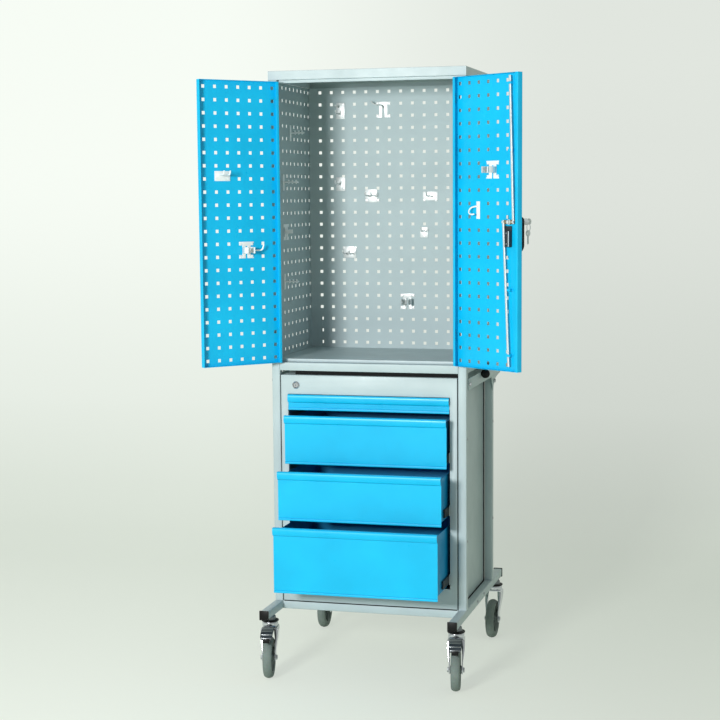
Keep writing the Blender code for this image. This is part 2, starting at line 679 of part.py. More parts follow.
node(
    "door_handle",
    joined(
        "handle",
        [
            prism(lever_outline, 1, -LEVER_OUT, -LEVER_NEAR),
            disc(1, (0, 0), HUB_RADIUS, -LEVER_NEAR - LEVER_JOIN, -PLATE_THICK - 2 * CLEAR),
            disc(1, (0, 0), SHAFT_RADIUS, -PLATE_THICK - LEVER_JOIN, CAM_IN - CLEAR),
        ],
    ),
    "black_plastic",
    lock_turn,
    True,
)
plate_cut = [
    box(
        -(LOCK_AT - SHAFT_HOLE_HALF), -(LOCK_AT + SHAFT_HOLE_HALF), -PLATE_THICK, SKIN_OUT - CLEAR,
        LOCK_Z - SHAFT_HOLE_HALF, LOCK_Z + SHAFT_HOLE_HALF,
    )
]
node(
    "handle_plate",
    cells(
        [
            box(
                -(LOCK_AT - PLATE_HALF_WIDTH), -(LOCK_AT + PLATE_HALF_WIDTH), -PLATE_THICK + CLEAR,
                SKIN_OUT - CLEAR, PLATE_BOTTOM_Z, PLATE_TOP_Z,
            )
        ],
        plate_cut,
    ),
    "black_plastic",
    right_door,
)


def rod_mesh(near, far, low, high):
    outline = [
        (-(near - ROD_HALF_WIDTH), low),
        (-(near + ROD_HALF_WIDTH), low),
        (-(far + ROD_HALF_WIDTH), high),
        (-(far - ROD_HALF_WIDTH), high),
    ]
    return prism(outline, 1, ROD_IN, ROD_IN + ROD_THICK)


upper_rod = empty("upper_rod_axis", (0, 0, 0), right_door)
lower_rod = empty("lower_rod_axis", (0, 0, 0), right_door)
node(
    "rod_upper",
    rod_mesh(LOCK_AT + ROD_ARM, ROD_TOP_AT, LOCK_Z - ROD_PAST_PIN, ROD_TOP_Z),
    "zinc",
    upper_rod,
)
node(
    "rod_lower",
    rod_mesh(ROD_BOTTOM_AT, LOCK_AT - ROD_ARM, ROD_BOTTOM_Z, LOCK_Z + ROD_PAST_PIN),
    "zinc",
    lower_rod,
)

# Drawer unit
unit_sheet = THIN_SHEET
guide_out = BOX_HALF_WIDTH + 2 * CLEAR + SLIDE_THICK + CLEAR
adds = [
    box(-UNIT_HALF_WIDTH, UNIT_HALF_WIDTH, FRONT_Y, UNIT_BACK_Y, UNIT_TOP_Z - unit_sheet, UNIT_TOP_Z),
    box(-UNIT_HALF_WIDTH, UNIT_HALF_WIDTH, FRONT_Y, UNIT_BACK_Y, UNIT_BOTTOM_Z, UNIT_BOTTOM_Z + unit_sheet),
    box(-UNIT_HALF_WIDTH, UNIT_HALF_WIDTH, UNIT_BACK_Y - unit_sheet, UNIT_BACK_Y, UNIT_BOTTOM_Z, UNIT_TOP_Z),
    box(-UNIT_HALF_WIDTH, UNIT_HALF_WIDTH, FRONT_Y, FRONT_Y + unit_sheet, TOP_STRIP_BOTTOM_Z, UNIT_TOP_Z),
    box(-UNIT_HALF_WIDTH, UNIT_HALF_WIDTH, FRONT_Y, FRONT_Y + unit_sheet, UNIT_BOTTOM_Z, BOTTOM_STRIP_TOP_Z),
]
for sign in (-1, 1):
    outer, inner = sign * UNIT_HALF_WIDTH, sign * (UNIT_HALF_WIDTH - unit_sheet)
    opening = sign * OPENING_HALF
    adds.append(box(outer, inner, FRONT_Y, UNIT_BACK_Y, UNIT_BOTTOM_Z, UNIT_TOP_Z))
    adds.append(box(outer, opening, FRONT_Y, FRONT_Y + unit_sheet, UNIT_BOTTOM_Z, UNIT_TOP_Z))
    adds.append(
        box(
            opening, opening + sign * unit_sheet, FRONT_Y, FRONT_Y + STRIP_RETURN,
            BOTTOM_STRIP_TOP_Z - unit_sheet, TOP_STRIP_BOTTOM_Z + unit_sheet,
        )
    )
    for bottom in DRAWER_BOTTOMS:
        low = bottom + BOX_RAISE + SLIDE_RAISE
        middle = low + SLIDE_HEIGHT / 2
        adds.append(
            box(
                sign * guide_out, sign * (guide_out + GUIDE_THICK), FRONT_Y + unit_sheet / 2, UNIT_BACK_Y,
                middle - GUIDE_HEIGHT / 2, middle + GUIDE_HEIGHT / 2,
            )
        )
lock_hole = box(
    UNIT_LOCK_X - UNIT_LOCK_HOLE_HALF, UNIT_LOCK_X + UNIT_LOCK_HOLE_HALF, FRONT_Y, FRONT_Y + unit_sheet,
    UNIT_LOCK_Z - UNIT_LOCK_HOLE_HALF, UNIT_LOCK_Z + UNIT_LOCK_HOLE_HALF,
)
node("drawer_unit_shell", cells(adds, [lock_hole]), "grey_paint", root)
lock_axis = empty("unit_lock_axis", (UNIT_LOCK_X, FRONT_Y, UNIT_LOCK_Z), root)
node(
    "unit_lock",
    joined(
        "lock",
        [
            disc(1, (0, 0), UNIT_LOCK_RADIUS, -UNIT_LOCK_PROUD, -CLEAR),
            disc(1, (0, 0), UNIT_LOCK_BARREL_RADIUS, -2 * CLEAR, UNIT_LOCK_BARREL),
        ],
    ),
    "chrome",
    lock_axis,
    True,
)


def front_mesh(low, high):
    """A front plate folded back at its sides, with a rounded lip along the top and a fold along the foot."""
    y = FRONT_PLATE_Y
    back = y + FRONT_PLATE_THICK
    outline = [
        (back, low),
        (y - FOLD_PROUD, low),
        (y - FOLD_PROUD, low + FOLD_HEIGHT - FOLD_PROUD),
        (y, low + FOLD_HEIGHT),
        (y, high - LIP_HEIGHT),
    ]
    for out, down in zip(LIP_OUT_SHARES, LIP_DOWN_SHARES):
        outline.append((y - LIP_PROUD * out, high - LIP_HEIGHT * down))
    outline.append((back, high))
    return prism(outline, 0, -FRONT_HALF_WIDTH, FRONT_HALF_WIDTH)


for number, (high, low, pull) in enumerate(zip(DRAWER_TOPS, DRAWER_BOTTOMS, DRAWER_PULLS), 1):
    run = empty("drawer_" + str(number) + "_axis", (0, -pull, 0), root)
    node(
        "drawer_" + str(number) + "_front",
        front_mesh(low + DRAWER_GAP, high - DRAWER_GAP),
        "blue_paint",
        run,
        True,
    )
    box_front = FRONT_PLATE_Y + FRONT_PLATE_THICK + CLEAR
    base_z, rim_z = low + BOX_RAISE, high - BOX_LOWER
    node(
        "drawer_" + str(number) + "_box",
        cells(
            [box(-BOX_HALF_WIDTH, BOX_HALF_WIDTH, box_front, BOX_REAR_Y, base_z, rim_z)],
            [
                box(
                    -BOX_HALF_WIDTH + THIN_SHEET, BOX_HALF_WIDTH - THIN_SHEET,
                    box_front + THIN_SHEET, BOX_REAR_Y - THIN_SHEET, base_z + THIN_SHEET, rim_z,
                )
            ],
        ),
        "blue_paint",
        run,
    )
    half_run = empty("slides_" + str(number) + "_axis", (0, -pull / 2, 0), root)
    slide_low = base_z + SLIDE_RAISE
    for side, sign in (("left", -1), ("right", 1)):
        near = sign * (BOX_HALF_WIDTH + 2 * CLEAR)
        node(
            "slide_" + str(number) + "_" + side,
            cells(
                [
                    box(
                        near, near + sign * SLIDE_THICK, SLIDE_FRONT_Y, SLIDE_REAR_Y,
                        slide_low, slide_low + SLIDE_HEIGHT,
                    )
                ],
                [
                    box(
                        near, near + sign * SLIDE_THICK / 2, SLIDE_FRONT_Y, SLIDE_REAR_Y,
                        slide_low + SLIDE_HEIGHT / 4, slide_low + 3 * SLIDE_HEIGHT / 4,
                    )
                ],
            ),
            "zinc",
            half_run,
        )

# Push handle and brackets
handle_x = HALF_WIDTH + 2 * CLEAR + BRACKET_THICK + HANDLE_RADIUS
path = [(handle_x, HANDLE_START_Y, HANDLE_Z)]
for i in range(BEND_STEPS + 1):
    angle = math.pi / 2 * i / BEND_STEPS
    path.append(
        (
            handle_x - HANDLE_BEND + HANDLE_BEND * math.cos(angle),
            HANDLE_REAR_Y - HANDLE_BEND + HANDLE_BEND * math.sin(angle),
            HANDLE_Z,
        )
    )
path += [(-x, y, z) for x, y, z in path[::-1]]
node("push_handle", pipe(path, HANDLE_RADIUS, HANDLE_WALL, FINE_CURVE_STEPS), "grey_paint", root, True)
for side, sign in (("left", -1), ("right", 1)):
    outline = [(BRACKET_FRONT_Y, BRACKET_TOP_Z), (BRACKET_FRONT_Y, BRACKET_STRAP_Z), (-TUBE, BRACKET_STRAP_Z)]
    outline += [(0.0, BRACKET_TOP_Z - BRACKET_CURVE_DROPS[0])]
    outline += [(y, BRACKET_TOP_Z - drop) for y, drop in zip(BRACKET_CURVE_YS, BRACKET_CURVE_DROPS)]
    outline += [(BRACKET_CURVE_YS[-1], BRACKET_TOP_Z)]
    near = sign * (HALF_WIDTH + CLEAR)
    across = sorted((near, near + sign * BRACKET_THICK))
    node("handle_bracket_" + side, prism(outline, 0, across[0], across[1]), "grey_paint", root)

# Casters
flat_radius = WHEEL_RADIUS / math.cos(math.pi / BOLD_CURVE_STEPS)
rim = flat_radius - TYRE_DEPTH
wheel_profile = [
    (-HUB_HALF_WIDTH, BORE_RADIUS),
    (-HUB_HALF_WIDTH, WHEEL_HUB_RADIUS),
    (-WEB_HALF_WIDTH, WHEEL_HUB_RADIUS + TREAD_EDGE),
    (-WEB_HALF_WIDTH, rim - TREAD_EDGE),
    (-WHEEL_HALF_WIDTH + TREAD_CROWN, rim),
    (-WHEEL_HALF_WIDTH, flat_radius - TREAD_EDGE - TREAD_CROWN),
    (-WHEEL_HALF_WIDTH + TREAD_CROWN, flat_radius - TREAD_CROWN / 2),
    (-WHEEL_HALF_WIDTH / 2, flat_radius),
]
wheel_profile += [(-x, r) for x, r in wheel_profile[::-1]]
axle_z = WHEEL_RADIUS
brake_outline = [(y - BRAKE_PIVOT_Y, BRAKE_PIVOT_DROP - drop) for y, drop in zip(BRAKE_YS, BRAKE_DROPS)]
for corner, heading in HEADINGS.items():
    x = -CASTER_X if corner[1] == "l" else CASTER_X
    y = CASTER_FRONT_Y if corner[0] == "f" else CASTER_REAR_Y
    swivel = empty("caster_" + corner + "_axis", (x, y, 0), root, math.radians(heading))
    leg_outline = [
        (-LEG_TOP_HALF, LEG_TOP_Z),
        (-LEG_TOP_HALF - LEG_TIP_HALF, LEG_TOP_Z - LEG_TOP_HALF),
        (-CASTER_TRAIL - LEG_TIP_HALF, axle_z),
        (-CASTER_TRAIL - LEG_TIP_HALF / 2, LEG_TIP_Z),
        (-CASTER_TRAIL + LEG_TIP_HALF / 2, LEG_TIP_Z),
        (-CASTER_TRAIL + LEG_TIP_HALF, axle_z),
        (LEG_TOP_HALF, LEG_TOP_Z - LEG_TOP_HALF),
        (LEG_TOP_HALF, LEG_TOP_Z),
    ]
    shapes = [disc(2, (0, 0), HEAD_RADIUS, HEAD_BOTTOM_Z, HEAD_TOP_Z, BOLD_CURVE_STEPS)]
    shapes.append(disc(2, (0, 0), STEM_RADIUS, HEAD_TOP_Z - CLEAR, STEM_TOP_Z))
    for sign in (-1, 1):
        legs = sorted((sign * LEG_INNER, sign * (LEG_INNER + LEG_THICK)))
        shapes.append(prism(leg_outline, 0, legs[0], legs[1]))
        nut = sorted((sign * LEG_INNER, sign * AXLE_HALF))
        shapes.append(disc(0, (-CASTER_TRAIL, axle_z), NUT_RADIUS, nut[0], nut[1], NUT_SIDES))
    bridge_top = HEAD_BOTTOM_Z + LEG_THICK
    reach = LEG_INNER + LEG_THICK / 2
    bridge_half = LEG_TOP_HALF - CLEAR
    bridge = box(-reach, reach, -bridge_half, bridge_half, HEAD_BOTTOM_Z - CLEAR, bridge_top - CLEAR)
    shapes.append(cells([bridge]))
    shapes.append(disc(0, (-CASTER_TRAIL, axle_z), AXLE_RADIUS, -reach, reach, FINE_CURVE_STEPS))
    node("caster_fork_" + corner, joined("fork", shapes), "chrome", swivel, True)
    spin = empty("wheel_" + corner + "_axis", (0, -CASTER_TRAIL, axle_z), swivel)
    node("caster_wheel_" + corner, ring_body(wheel_profile, BOLD_CURVE_STEPS), "grey_rubber", spin, True)
    if corner[0] == "f":
        pivot = empty("brake_" + corner + "_axis", (0, BRAKE_PIVOT_Y, BRAKE_PIVOT_Z), swivel)
        brake = prism(brake_outline, 0, -BRAKE_HALF_WIDTH, BRAKE_HALF_WIDTH)
        node("brake_" + corner, brake, "grey_plastic", pivot)

# The origin goes to the floor under the middle of the whole object
bpy.context.view_layer.update()
low = np.full(3, np.inf)
high = np.full(3, -np.inf)
for made in bpy.data.objects:
    if made.type == "MESH":
        for vertex in made.data.vertices:
            point = made.matrix_world @ vertex.co
            low = np.minimum(low, point)
            high = np.maximum(high, point)
root.location = (-(low[0] + high[0]) / 2, -(low[1] + high[1]) / 2, -low[2])
bpy.context.view_layer.update()
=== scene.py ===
"""Looks of a workshop tool cart with a perforated cabinet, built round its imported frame. Metres, Z up."""

import json
import math

import bmesh
import bpy
from mathutils import Matrix, Vector

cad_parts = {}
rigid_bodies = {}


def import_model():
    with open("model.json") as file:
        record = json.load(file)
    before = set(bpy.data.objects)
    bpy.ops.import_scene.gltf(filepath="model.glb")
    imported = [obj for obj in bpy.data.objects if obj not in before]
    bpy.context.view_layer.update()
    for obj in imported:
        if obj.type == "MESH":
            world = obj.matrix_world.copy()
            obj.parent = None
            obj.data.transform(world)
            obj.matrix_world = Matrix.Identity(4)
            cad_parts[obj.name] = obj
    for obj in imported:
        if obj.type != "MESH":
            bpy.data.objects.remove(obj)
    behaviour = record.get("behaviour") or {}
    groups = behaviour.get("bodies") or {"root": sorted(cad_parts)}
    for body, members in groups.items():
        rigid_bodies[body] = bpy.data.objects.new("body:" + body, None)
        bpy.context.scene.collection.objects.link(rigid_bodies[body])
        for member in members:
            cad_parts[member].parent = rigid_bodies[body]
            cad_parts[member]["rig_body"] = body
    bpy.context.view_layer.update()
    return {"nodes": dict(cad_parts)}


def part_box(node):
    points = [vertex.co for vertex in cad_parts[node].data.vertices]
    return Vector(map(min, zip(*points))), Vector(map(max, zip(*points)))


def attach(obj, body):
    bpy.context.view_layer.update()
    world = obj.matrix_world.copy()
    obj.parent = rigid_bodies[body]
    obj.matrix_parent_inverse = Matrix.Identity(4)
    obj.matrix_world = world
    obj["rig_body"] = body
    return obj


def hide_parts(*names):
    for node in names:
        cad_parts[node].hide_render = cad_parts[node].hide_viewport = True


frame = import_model()
nodes = frame["nodes"]

# The cart is drawn about its rear post faces, and this moves a point to the frame's own origin
POST_CORNER = Vector((-0.300, -0.403, 0.2073))
to_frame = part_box("post_front_left")[0] - POST_CORNER
CART = Matrix.Translation(to_frame)

# Sizes shared with the solids
HALF_WIDTH = 0.300
FRONT_Y = -0.403
REAR_Y = 0.025
BACK_Y = 0.003
TUBE = 0.025
SHEET = 0.0015
CABINET_BOTTOM_Z = 0.9427
CABINET_TOP_Z = 1.809
FASCIA_HEIGHT = 0.0265
JAMB_WIDTH = 0.027
JAMB_DEPTH = 0.023
PITCH = 0.038
HALF_HOLE = 0.0048
ROWS = 22
TOP_ROW_Z = 1.768
FIRST_COLUMN_X = -0.261
DOOR_TOP_ROW_Z = 1.7578
DOOR_FIRST_COLUMN = 0.0166
HINGE_X = 0.272
HINGE_Y = -0.406
LEFT_DOOR_OPEN = math.radians(132.3)
RIGHT_DOOR_OPEN = math.radians(145.94)
LOCK_AT = 0.220
LOCK_Z = 1.364
RAIL_TOP_Z = 0.207
RAIL_FRONT_Y = -0.547
RAIL_REAR_Y = 0.171
WHEEL_RADIUS = 0.0625
CASTER_TRAIL = 0.038
CASTER_X = 0.2875
CASTER_YS = {"f": -0.492, "r": 0.114}
HEADINGS = {"fl": 11.5, "fr": 10.0, "rl": 3.5, "rr": 0.0}
SIDES = (("left", -1), ("right", 1))
# Two points closer than this are the same place
SAME_PLACE = 0.000001
# Edges that turn more than this stay crisp in the shading
CRISP_TURN = math.radians(35)

LEFT_DOOR = CART @ Matrix.Translation((-HINGE_X, HINGE_Y, 0)) @ Matrix.Rotation(-LEFT_DOOR_OPEN, 4, "Z")
RIGHT_DOOR = CART @ Matrix.Translation((HINGE_X, HINGE_Y, 0)) @ Matrix.Rotation(RIGHT_DOOR_OPEN, 4, "Z")
DOORS = {"left": LEFT_DOOR, "right": RIGHT_DOOR}


# Finishes

def linear(code):
    """A written sRGB colour as the linear values that a shader takes."""
    parts = [int(code[i:i + 2], 16) / 255 for i in (1, 3, 5)]
    return [c / 12.92 if c <= 0.04045 else ((c + 0.055) / 1.055) ** 2.4 for c in parts] + [1.0]


def result(node):
    """The first output of a node that its settings leave in use."""
    return next(socket for socket in node.outputs if socket.enabled)


def add(tree, kind, settings, sockets, into=None):
    """Adds a shader node. Its sockets take values, or links from other sockets or from nodes' results."""
    made = tree.nodes.new("ShaderNode" + kind)
    for key, value in settings.items():
        setattr(made, key, value)
    for key, value in sockets.items():
        if isinstance(value, bpy.types.Node):
            value = result(value)
        if isinstance(value, bpy.types.NodeSocket):
            tree.links.new(value, made.inputs[key])
        else:
            made.inputs[key].default_value = value
    if into:
        tree.links.new(result(made), into)
    return made


def finish(name, colour, metallic, roughness, **shader_values):
    """A material that starts from its base values. Returns its tree, shader and a place in millimetres."""
    material = bpy.data.materials.new(name)
    material.use_nodes = True
    tree = material.node_tree
    shader = tree.nodes["Principled BSDF"]
    shader.inputs["Base Color"].default_value = linear(colour)
    shader.inputs["Metallic"].default_value = metallic
    shader.inputs["Roughness"].default_value = roughness
    for key, value in shader_values.items():
        shader.inputs[key.replace("_", " ")].default_value = value
    place = add(tree, "TexCoord", {}, {}).outputs["Object"]
    return material, tree, shader, add(tree, "Mapping", {}, {"Vector": place, "Scale": (1000, 1000, 1000)})


def vary(tree, shader, tone, shades, shine, span, relief, strength, height):
    """Lets patterns vary a finish: one its colour, one its roughness and one its relief."""
    add(tree, "Mix", {"data_type": "RGBA"}, {
        "Factor": tone, "A": linear(shades[0]), "B": linear(shades[1])}, shader.inputs["Base Color"])
    add(tree, "MapRange", {}, {
        "Value": shine, "From Min": span[0], "From Max": span[1], "To Min": span[2], "To Max": span[3]},
        shader.inputs["Roughness"])
    add(tree, "Bump", {}, {
        "Height": relief, "Strength": strength, "Distance": height}, shader.inputs["Normal"])


def powder_coat(name, colour, worn, polished, dull):
    """Satin polyester powder coat on sheet steel: a fine orange peel, slow cloudiness and handled patches."""
    material, tree, shader, place = finish(name, colour, 0.0, 0.42, Specular_IOR_Level=0.35)
    # Real orange peel is about 1 mm across, drawn at 2.5 mm so that it shows at this distance
    peel = add(tree, "TexNoise", {}, {"Vector": place, "Scale": 1 / 2.5, "Detail": 2.0})
    # Clouding where the powder went on thicker, about 140 mm across
    cloud = add(tree, "TexNoise", {}, {"Vector": place, "Scale": 1 / 140, "Detail": 3.0})
    # Patches polished or greased by hands, about 45 mm across
    hand = add(tree, "TexNoise", {}, {"Vector": place, "Scale": 1 / 45, "Detail": 5.0, "Roughness": 0.65})
    tone = add(tree, "MapRange", {}, {"Value": cloud, "From Min": 0.3, "From Max": 0.7})
    vary(tree, shader, tone, (worn, colour), hand, (0.3, 0.75, polished, dull), peel, 0.10, 0.0006)
    return material


def zinc_plate(name, colour, shade, grain, metallic=1.0, dulled=0.0):
    """Bright zinc plate on cold rolled steel: rolling lines along the strip and a mottled shine."""
    material, tree, shader, place = finish(name, colour, metallic, 0.3)
    # Rolling lines are under 0.5 mm apart, drawn at 1.5 mm
    lines = add(tree, "Mapping", {}, {"Vector": place, "Scale": grain})
    rolled = add(tree, "TexNoise", {}, {"Vector": lines, "Scale": 1 / 1.5, "Detail": 4.0})
    # Spangle and stains, about 12 mm across
    mottle = add(tree, "TexNoise", {}, {"Vector": place, "Scale": 1 / 12, "Detail": 4.0, "Roughness": 0.6})
    span = (0.3, 0.7, 0.24 + dulled, 0.40 + dulled)
    vary(tree, shader, mottle, (shade, colour), rolled, span, rolled, 0.06, 0.0003)
    return material


def chrome_plate(name):
    """Bright chromium plate on pressed steel: a near mirror with a faint press ripple and dusty spots."""
    material, tree, shader, place = finish(name, "#c9cdd1", 1.0, 0.14)
    # Ripple left by the press, about 9 mm across
    ripple = add(tree, "TexNoise", {}, {"Vector": place, "Scale": 1 / 9, "Detail": 1.0})
    # Road dust in specks of about 1 mm, drawn at 2 mm
    dust = add(tree, "TexNoise", {}, {"Vector": place, "Scale": 1 / 2, "Detail": 6.0, "Roughness": 0.7})
    add(tree, "MapRange", {}, {
        "Value": dust, "From Min": 0.45, "From Max": 0.75, "To Min": 0.10, "To Max": 0.36},
        shader.inputs["Roughness"])
    add(tree, "Bump", {}, {"Height": ripple, "Strength": 0.15, "Distance": 0.001}, shader.inputs["Normal"])
    return material


def moulded_plastic(name, colour, shade, roughness, grain_mm):
    """Injection moulded nylon with a spark eroded grain that scatters its highlights."""
    material, tree, shader, place = finish(name, colour, 0.0, roughness, Specular_IOR_Level=0.26)
    grain = add(tree, "TexNoise", {}, {"Vector": place, "Scale": 1 / grain_mm, "Detail": 3.0})
    wear = add(tree, "TexNoise", {}, {"Vector": place, "Scale": 1 / 18, "Detail": 5.0, "Roughness": 0.6})
    span = (0.0, 1.0, roughness - 0.1, roughness + 0.1)
    vary(tree, shader, wear, (shade, colour), wear, span, grain, 0.2, 0.0004)
    return material


def wheel_rubber(name):
    """Grey non-marking rubber: matt, scuffed by the floor and dusted paler where it rolls."""
    material, tree, shader, place = finish(name, "#7d8a86", 0.0, 0.72, Specular_IOR_Level=0.3)
    scuff = add(tree, "TexNoise", {}, {"Vector": place, "Scale": 1 / 5, "Detail": 7.0, "Roughness": 0.7})
    dust = add(tree, "TexNoise", {}, {"Vector": place, "Scale": 1 / 28, "Detail": 3.0})
    base = add(tree, "Mix", {"data_type": "RGBA"}, {
        "Factor": dust, "A": linear("#687672"), "B": linear("#8d9a95")})
    add(tree, "Mix", {"data_type": "RGBA", "blend_type": "MULTIPLY"}, {
        "Factor": 0.35, "A": base, "B": scuff.outputs["Color"]}, shader.inputs["Base Color"])
    add(tree, "Bump", {}, {"Height": scuff, "Strength": 0.25, "Distance": 0.0005}, shader.inputs["Normal"])
    return material
grey_coat = powder_coat("powder_coat_light_grey", "#b6c6c9", "#adbdc0", 0.36, 0.48)
liner_coat = powder_coat("powder_coat_light_grey_liner", "#adbec1", "#a8b9bc", 0.50, 0.56)
blue_coat = powder_coat("powder_coat_bright_blue", "#0abcec", "#06b2e2", 0.27, 0.36)
# A darker, deeper copy of the blue coat: painted shade on the drawer boxes' sides and insides
shaded_box_coat = powder_coat("powder_coat_blue_drawer_box", "#0496cc", "#038ac0", 0.34, 0.44)
zinc = zinc_plate("zinc_plate_rolled", "#b9bec0", "#a6acae", (1, 1, 0.06))
dull_zinc = zinc_plate("zinc_plate_dulled", "#8e9496", "#757b7e", (1, 1, 1), 0.9, 0.12)
wire_zinc = zinc_plate("zinc_plate_wire", "#e2e6e6", "#c8cece", (1, 1, 1), 0.4, 0.10)
# A nearly white, barely metallic copy of the zinc: painted light that makes the hooks on the side wall and
# doors show bright
painted_light_zinc = zinc_plate("zinc_plate_bright", "#f8fafa", "#e6eaea", (1, 1, 1), 0.1, 0.10)
# A dark copy of the zinc for the drawer slides: painted shade, as the slides sit in shade between the drawers
shaded_slide_zinc = zinc_plate("zinc_plate_greased", "#4c5255", "#363b3e", (1, 1, 0.06), 0.9, 0.10)
chrome = chrome_plate("chromium_plate_pressed")
yellow_zinc = zinc_plate("yellow_passivated_zinc", "#b39a63", "#8f7b58", (1, 1, 1))
black_nylon = moulded_plastic("moulded_nylon_black", "#07090a", "#030404", 0.42, 1.2)
grey_nylon = moulded_plastic("moulded_nylon_grey", "#6c7675", "#59625f", 0.5, 1.2)
dark_nylon = moulded_plastic("moulded_nylon_slate", "#333c42", "#242b30", 0.45, 1.5)
hub_plastic = moulded_plastic("moulded_polypropylene_grey", "#6d7876", "#5c6664", 0.5, 1.2)
rubber = wheel_rubber("rubber_grey_non_marking")
# Flat black that paints the shade in the gaps round the drawer unit
gap_shade_black = moulded_plastic("closed_cell_foam_black", "#0d1011", "#060707", 0.8, 0.8)


# Shapes

def gathered(*parts):
    """One mesh from several. A part that comes with a place is moved there first."""
    whole = bmesh.new()
    for part in parts:
        if isinstance(part, tuple):
            part, place = part
            bmesh.ops.transform(part, matrix=place, verts=part.verts)
        spare = bpy.data.meshes.new("spare")
        part.to_mesh(spare)
        part.free()
        whole.from_mesh(spare)
        bpy.data.meshes.remove(spare)
    return whole


def round_off(bm, edges, radius, segments=2):
    """Rounds some edges of a shape."""
    bmesh.ops.bevel(
        bm, geom=edges, offset=radius, offset_type="OFFSET", segments=segments, profile=0.5, affect="EDGES",
        material=-1, clamp_overlap=True)


def rounded_block(low, high, radius, segments=2):
    """A block between two corners with all its edges rounded."""
    low, high = Vector(low), Vector(high)
    bm = bmesh.new()
    size = Matrix.Diagonal((*(high - low), 1))
    bmesh.ops.create_cube(bm, size=1, matrix=Matrix.Translation((low + high) / 2) @ size)
    round_off(bm, bm.edges[:], radius, segments)
    return bm


def turned(profile, steps=32):
    """A line of (radius, height) points spun once round the Z axis."""
    bm = bmesh.new()
    points = [bm.verts.new((radius, 0, height)) for radius, height in profile]
    line = [bm.edges.new(pair) for pair in zip(points, points[1:])]
    bmesh.ops.spin(bm, geom=points + line, axis=(0, 0, 1), angle=2 * math.pi, steps=steps, use_merge=True)
    bmesh.ops.remove_doubles(bm, verts=bm.verts, dist=0.00002)
    bmesh.ops.recalc_face_normals(bm, faces=bm.faces)
    return bm


def mirrored(flank, middle=()):
    """The closed profile of a wheel's part, the same on both sides of the wheel's middle."""
    return [*flank, *middle, *((radius, -height) for radius, height in reversed(flank)), flank[0]]


def move_drawn(bm, drawn, along):
    """Moves what an extrusion has just drawn out."""
    moved = [item for item in drawn["geom"] if isinstance(item, bmesh.types.BMVert)]
    bmesh.ops.translate(bm, vec=along, verts=moved)


def drawn_sheet(points, along):
    """A line of points drawn out into a folded sheet with no thickness yet."""
    bm = bmesh.new()
    line = [bm.verts.new(point) for point in points]
    edges = [bm.edges.new(pair) for pair in zip(line, line[1:])]
    move_drawn(bm, bmesh.ops.extrude_edge_only(bm, edges=edges), along)
    return bm


def folded_sheet(points, along, radii):
    """A folded sheet whose folds are each bent to their own radius."""
    bm = drawn_sheet(points, along)
    along = Vector(along)
    for before, at, after, radius in zip(points, points[1:], points[2:], radii):
        turn = (Vector(at) - Vector(before)).angle(Vector(after) - Vector(at))
        fold = [
            edge for edge in bm.edges
            if min((vert.co - Vector(at)).length for vert in edge.verts) < SAME_PLACE
            and abs(edge.calc_length() - along.length) < SAME_PLACE
        ]
        round_off(bm, fold, radius * math.tan(turn / 2), 5)
    return bm


def cut_lines(bm, places, normal, clear=False):
    """Splits every face of a shape along parallel planes, and clears what lies beyond them if asked to."""
    for place in places:
        bmesh.ops.bisect_plane(
            bm, geom=bm.verts[:] + bm.edges[:] + bm.faces[:], dist=SAME_PLACE, plane_co=place,
            plane_no=normal, clear_outer=clear)


def trimmed(bm, outline, axis):
    """Cuts a shape down to a convex outline, given anticlockwise in the two directions across an axis."""
    across = [i for i in range(3) if i != axis]
    for start, end in zip(outline, outline[1:] + outline[:1]):
        place, normal = Vector((0, 0, 0)), Vector((0, 0, 0))
        place[across[0]], place[across[1]] = start
        normal[across[0]], normal[across[1]] = end[1] - start[1], start[0] - end[0]
        cut_lines(bm, [place], normal, True)
    return bm


def punch(bm, *grids):
    """Punches square holes through a sheet, where the places given along two axes meet."""
    for axis, places in grids:
        normal = Vector([float(n == axis) for n in range(3)])
        cut_lines(bm, [normal * (at + edge) for at in places for edge in (-HALF_HOLE, HALF_HOLE)], normal)
    holes = []
    for face in bm.faces:
        centre = face.calc_center_median()
        if all(min(abs(centre[axis] - at) for at in places) < HALF_HOLE for axis, places in grids):
            holes.append(face)
    bmesh.ops.delete(bm, geom=holes, context="FACES")


def cut_plate(outline, along, radius):
    """A flat plate: an outline drawn out along a direction, with its rim rounded."""
    bm = bmesh.new()
    face = bm.faces.new([bm.verts.new(point) for point in outline])
    move_drawn(bm, bmesh.ops.extrude_face_region(bm, geom=[face]), along)
    bmesh.ops.recalc_face_normals(bm, faces=bm.faces)
    round_off(bm, [edge for edge in bm.edges if edge.calc_face_angle(0) > math.radians(50)], radius)
    return bm


def bolt_head(across_flats, thickness, washer=0.0):
    """A hexagon head that stands on Z = 0, chamfered at its top, on a round washer if one is asked for."""
    radius = across_flats / math.sqrt(3)
    parts = []
    base = 0.0
    if washer:
        base = thickness / 4
        profile = [(0, 0), (washer, 0), (washer, base * 0.8), (washer * 0.96, base), (0, base)]
        parts.append(turned(profile, 24))
    head = bmesh.new()
    middle = base + thickness / 2
    bmesh.ops.create_cone(
        head, cap_ends=True, segments=6, radius1=radius, radius2=radius, depth=thickness,
        matrix=Matrix.Translation((0, 0, middle)))
    rims = [edge for edge in head.edges if min(vert.co.z for vert in edge.verts) > middle]
    round_off(head, rims, thickness / 6)
    return gathered(*parts, head)


def screw_head(radius, height):
    """A domed pan head that stands on Z = 0, with a recess sunk in its middle."""
    profile = ((0, 0), (1, 0), (1, 0.35), (0.86, 0.8), (0.6, 1), (0.42, 1), (0.34, 0.45), (0, 0.4))
    return turned([(radius * out, height * up) for out, up in profile], 20)


def facing(x, y, z, towards, forward="Z"):
    """A place whose Z axis, or another that is named, points along a direction."""
    return Matrix.Translation((x, y, z)) @ Vector(towards).to_track_quat(forward, "Y").to_matrix().to_4x4()


def stand(name, data):
    """Puts an object with this data into the scene."""
    made = bpy.data.objects.new(name, data)
    bpy.context.scene.collection.objects.link(made)
    return made


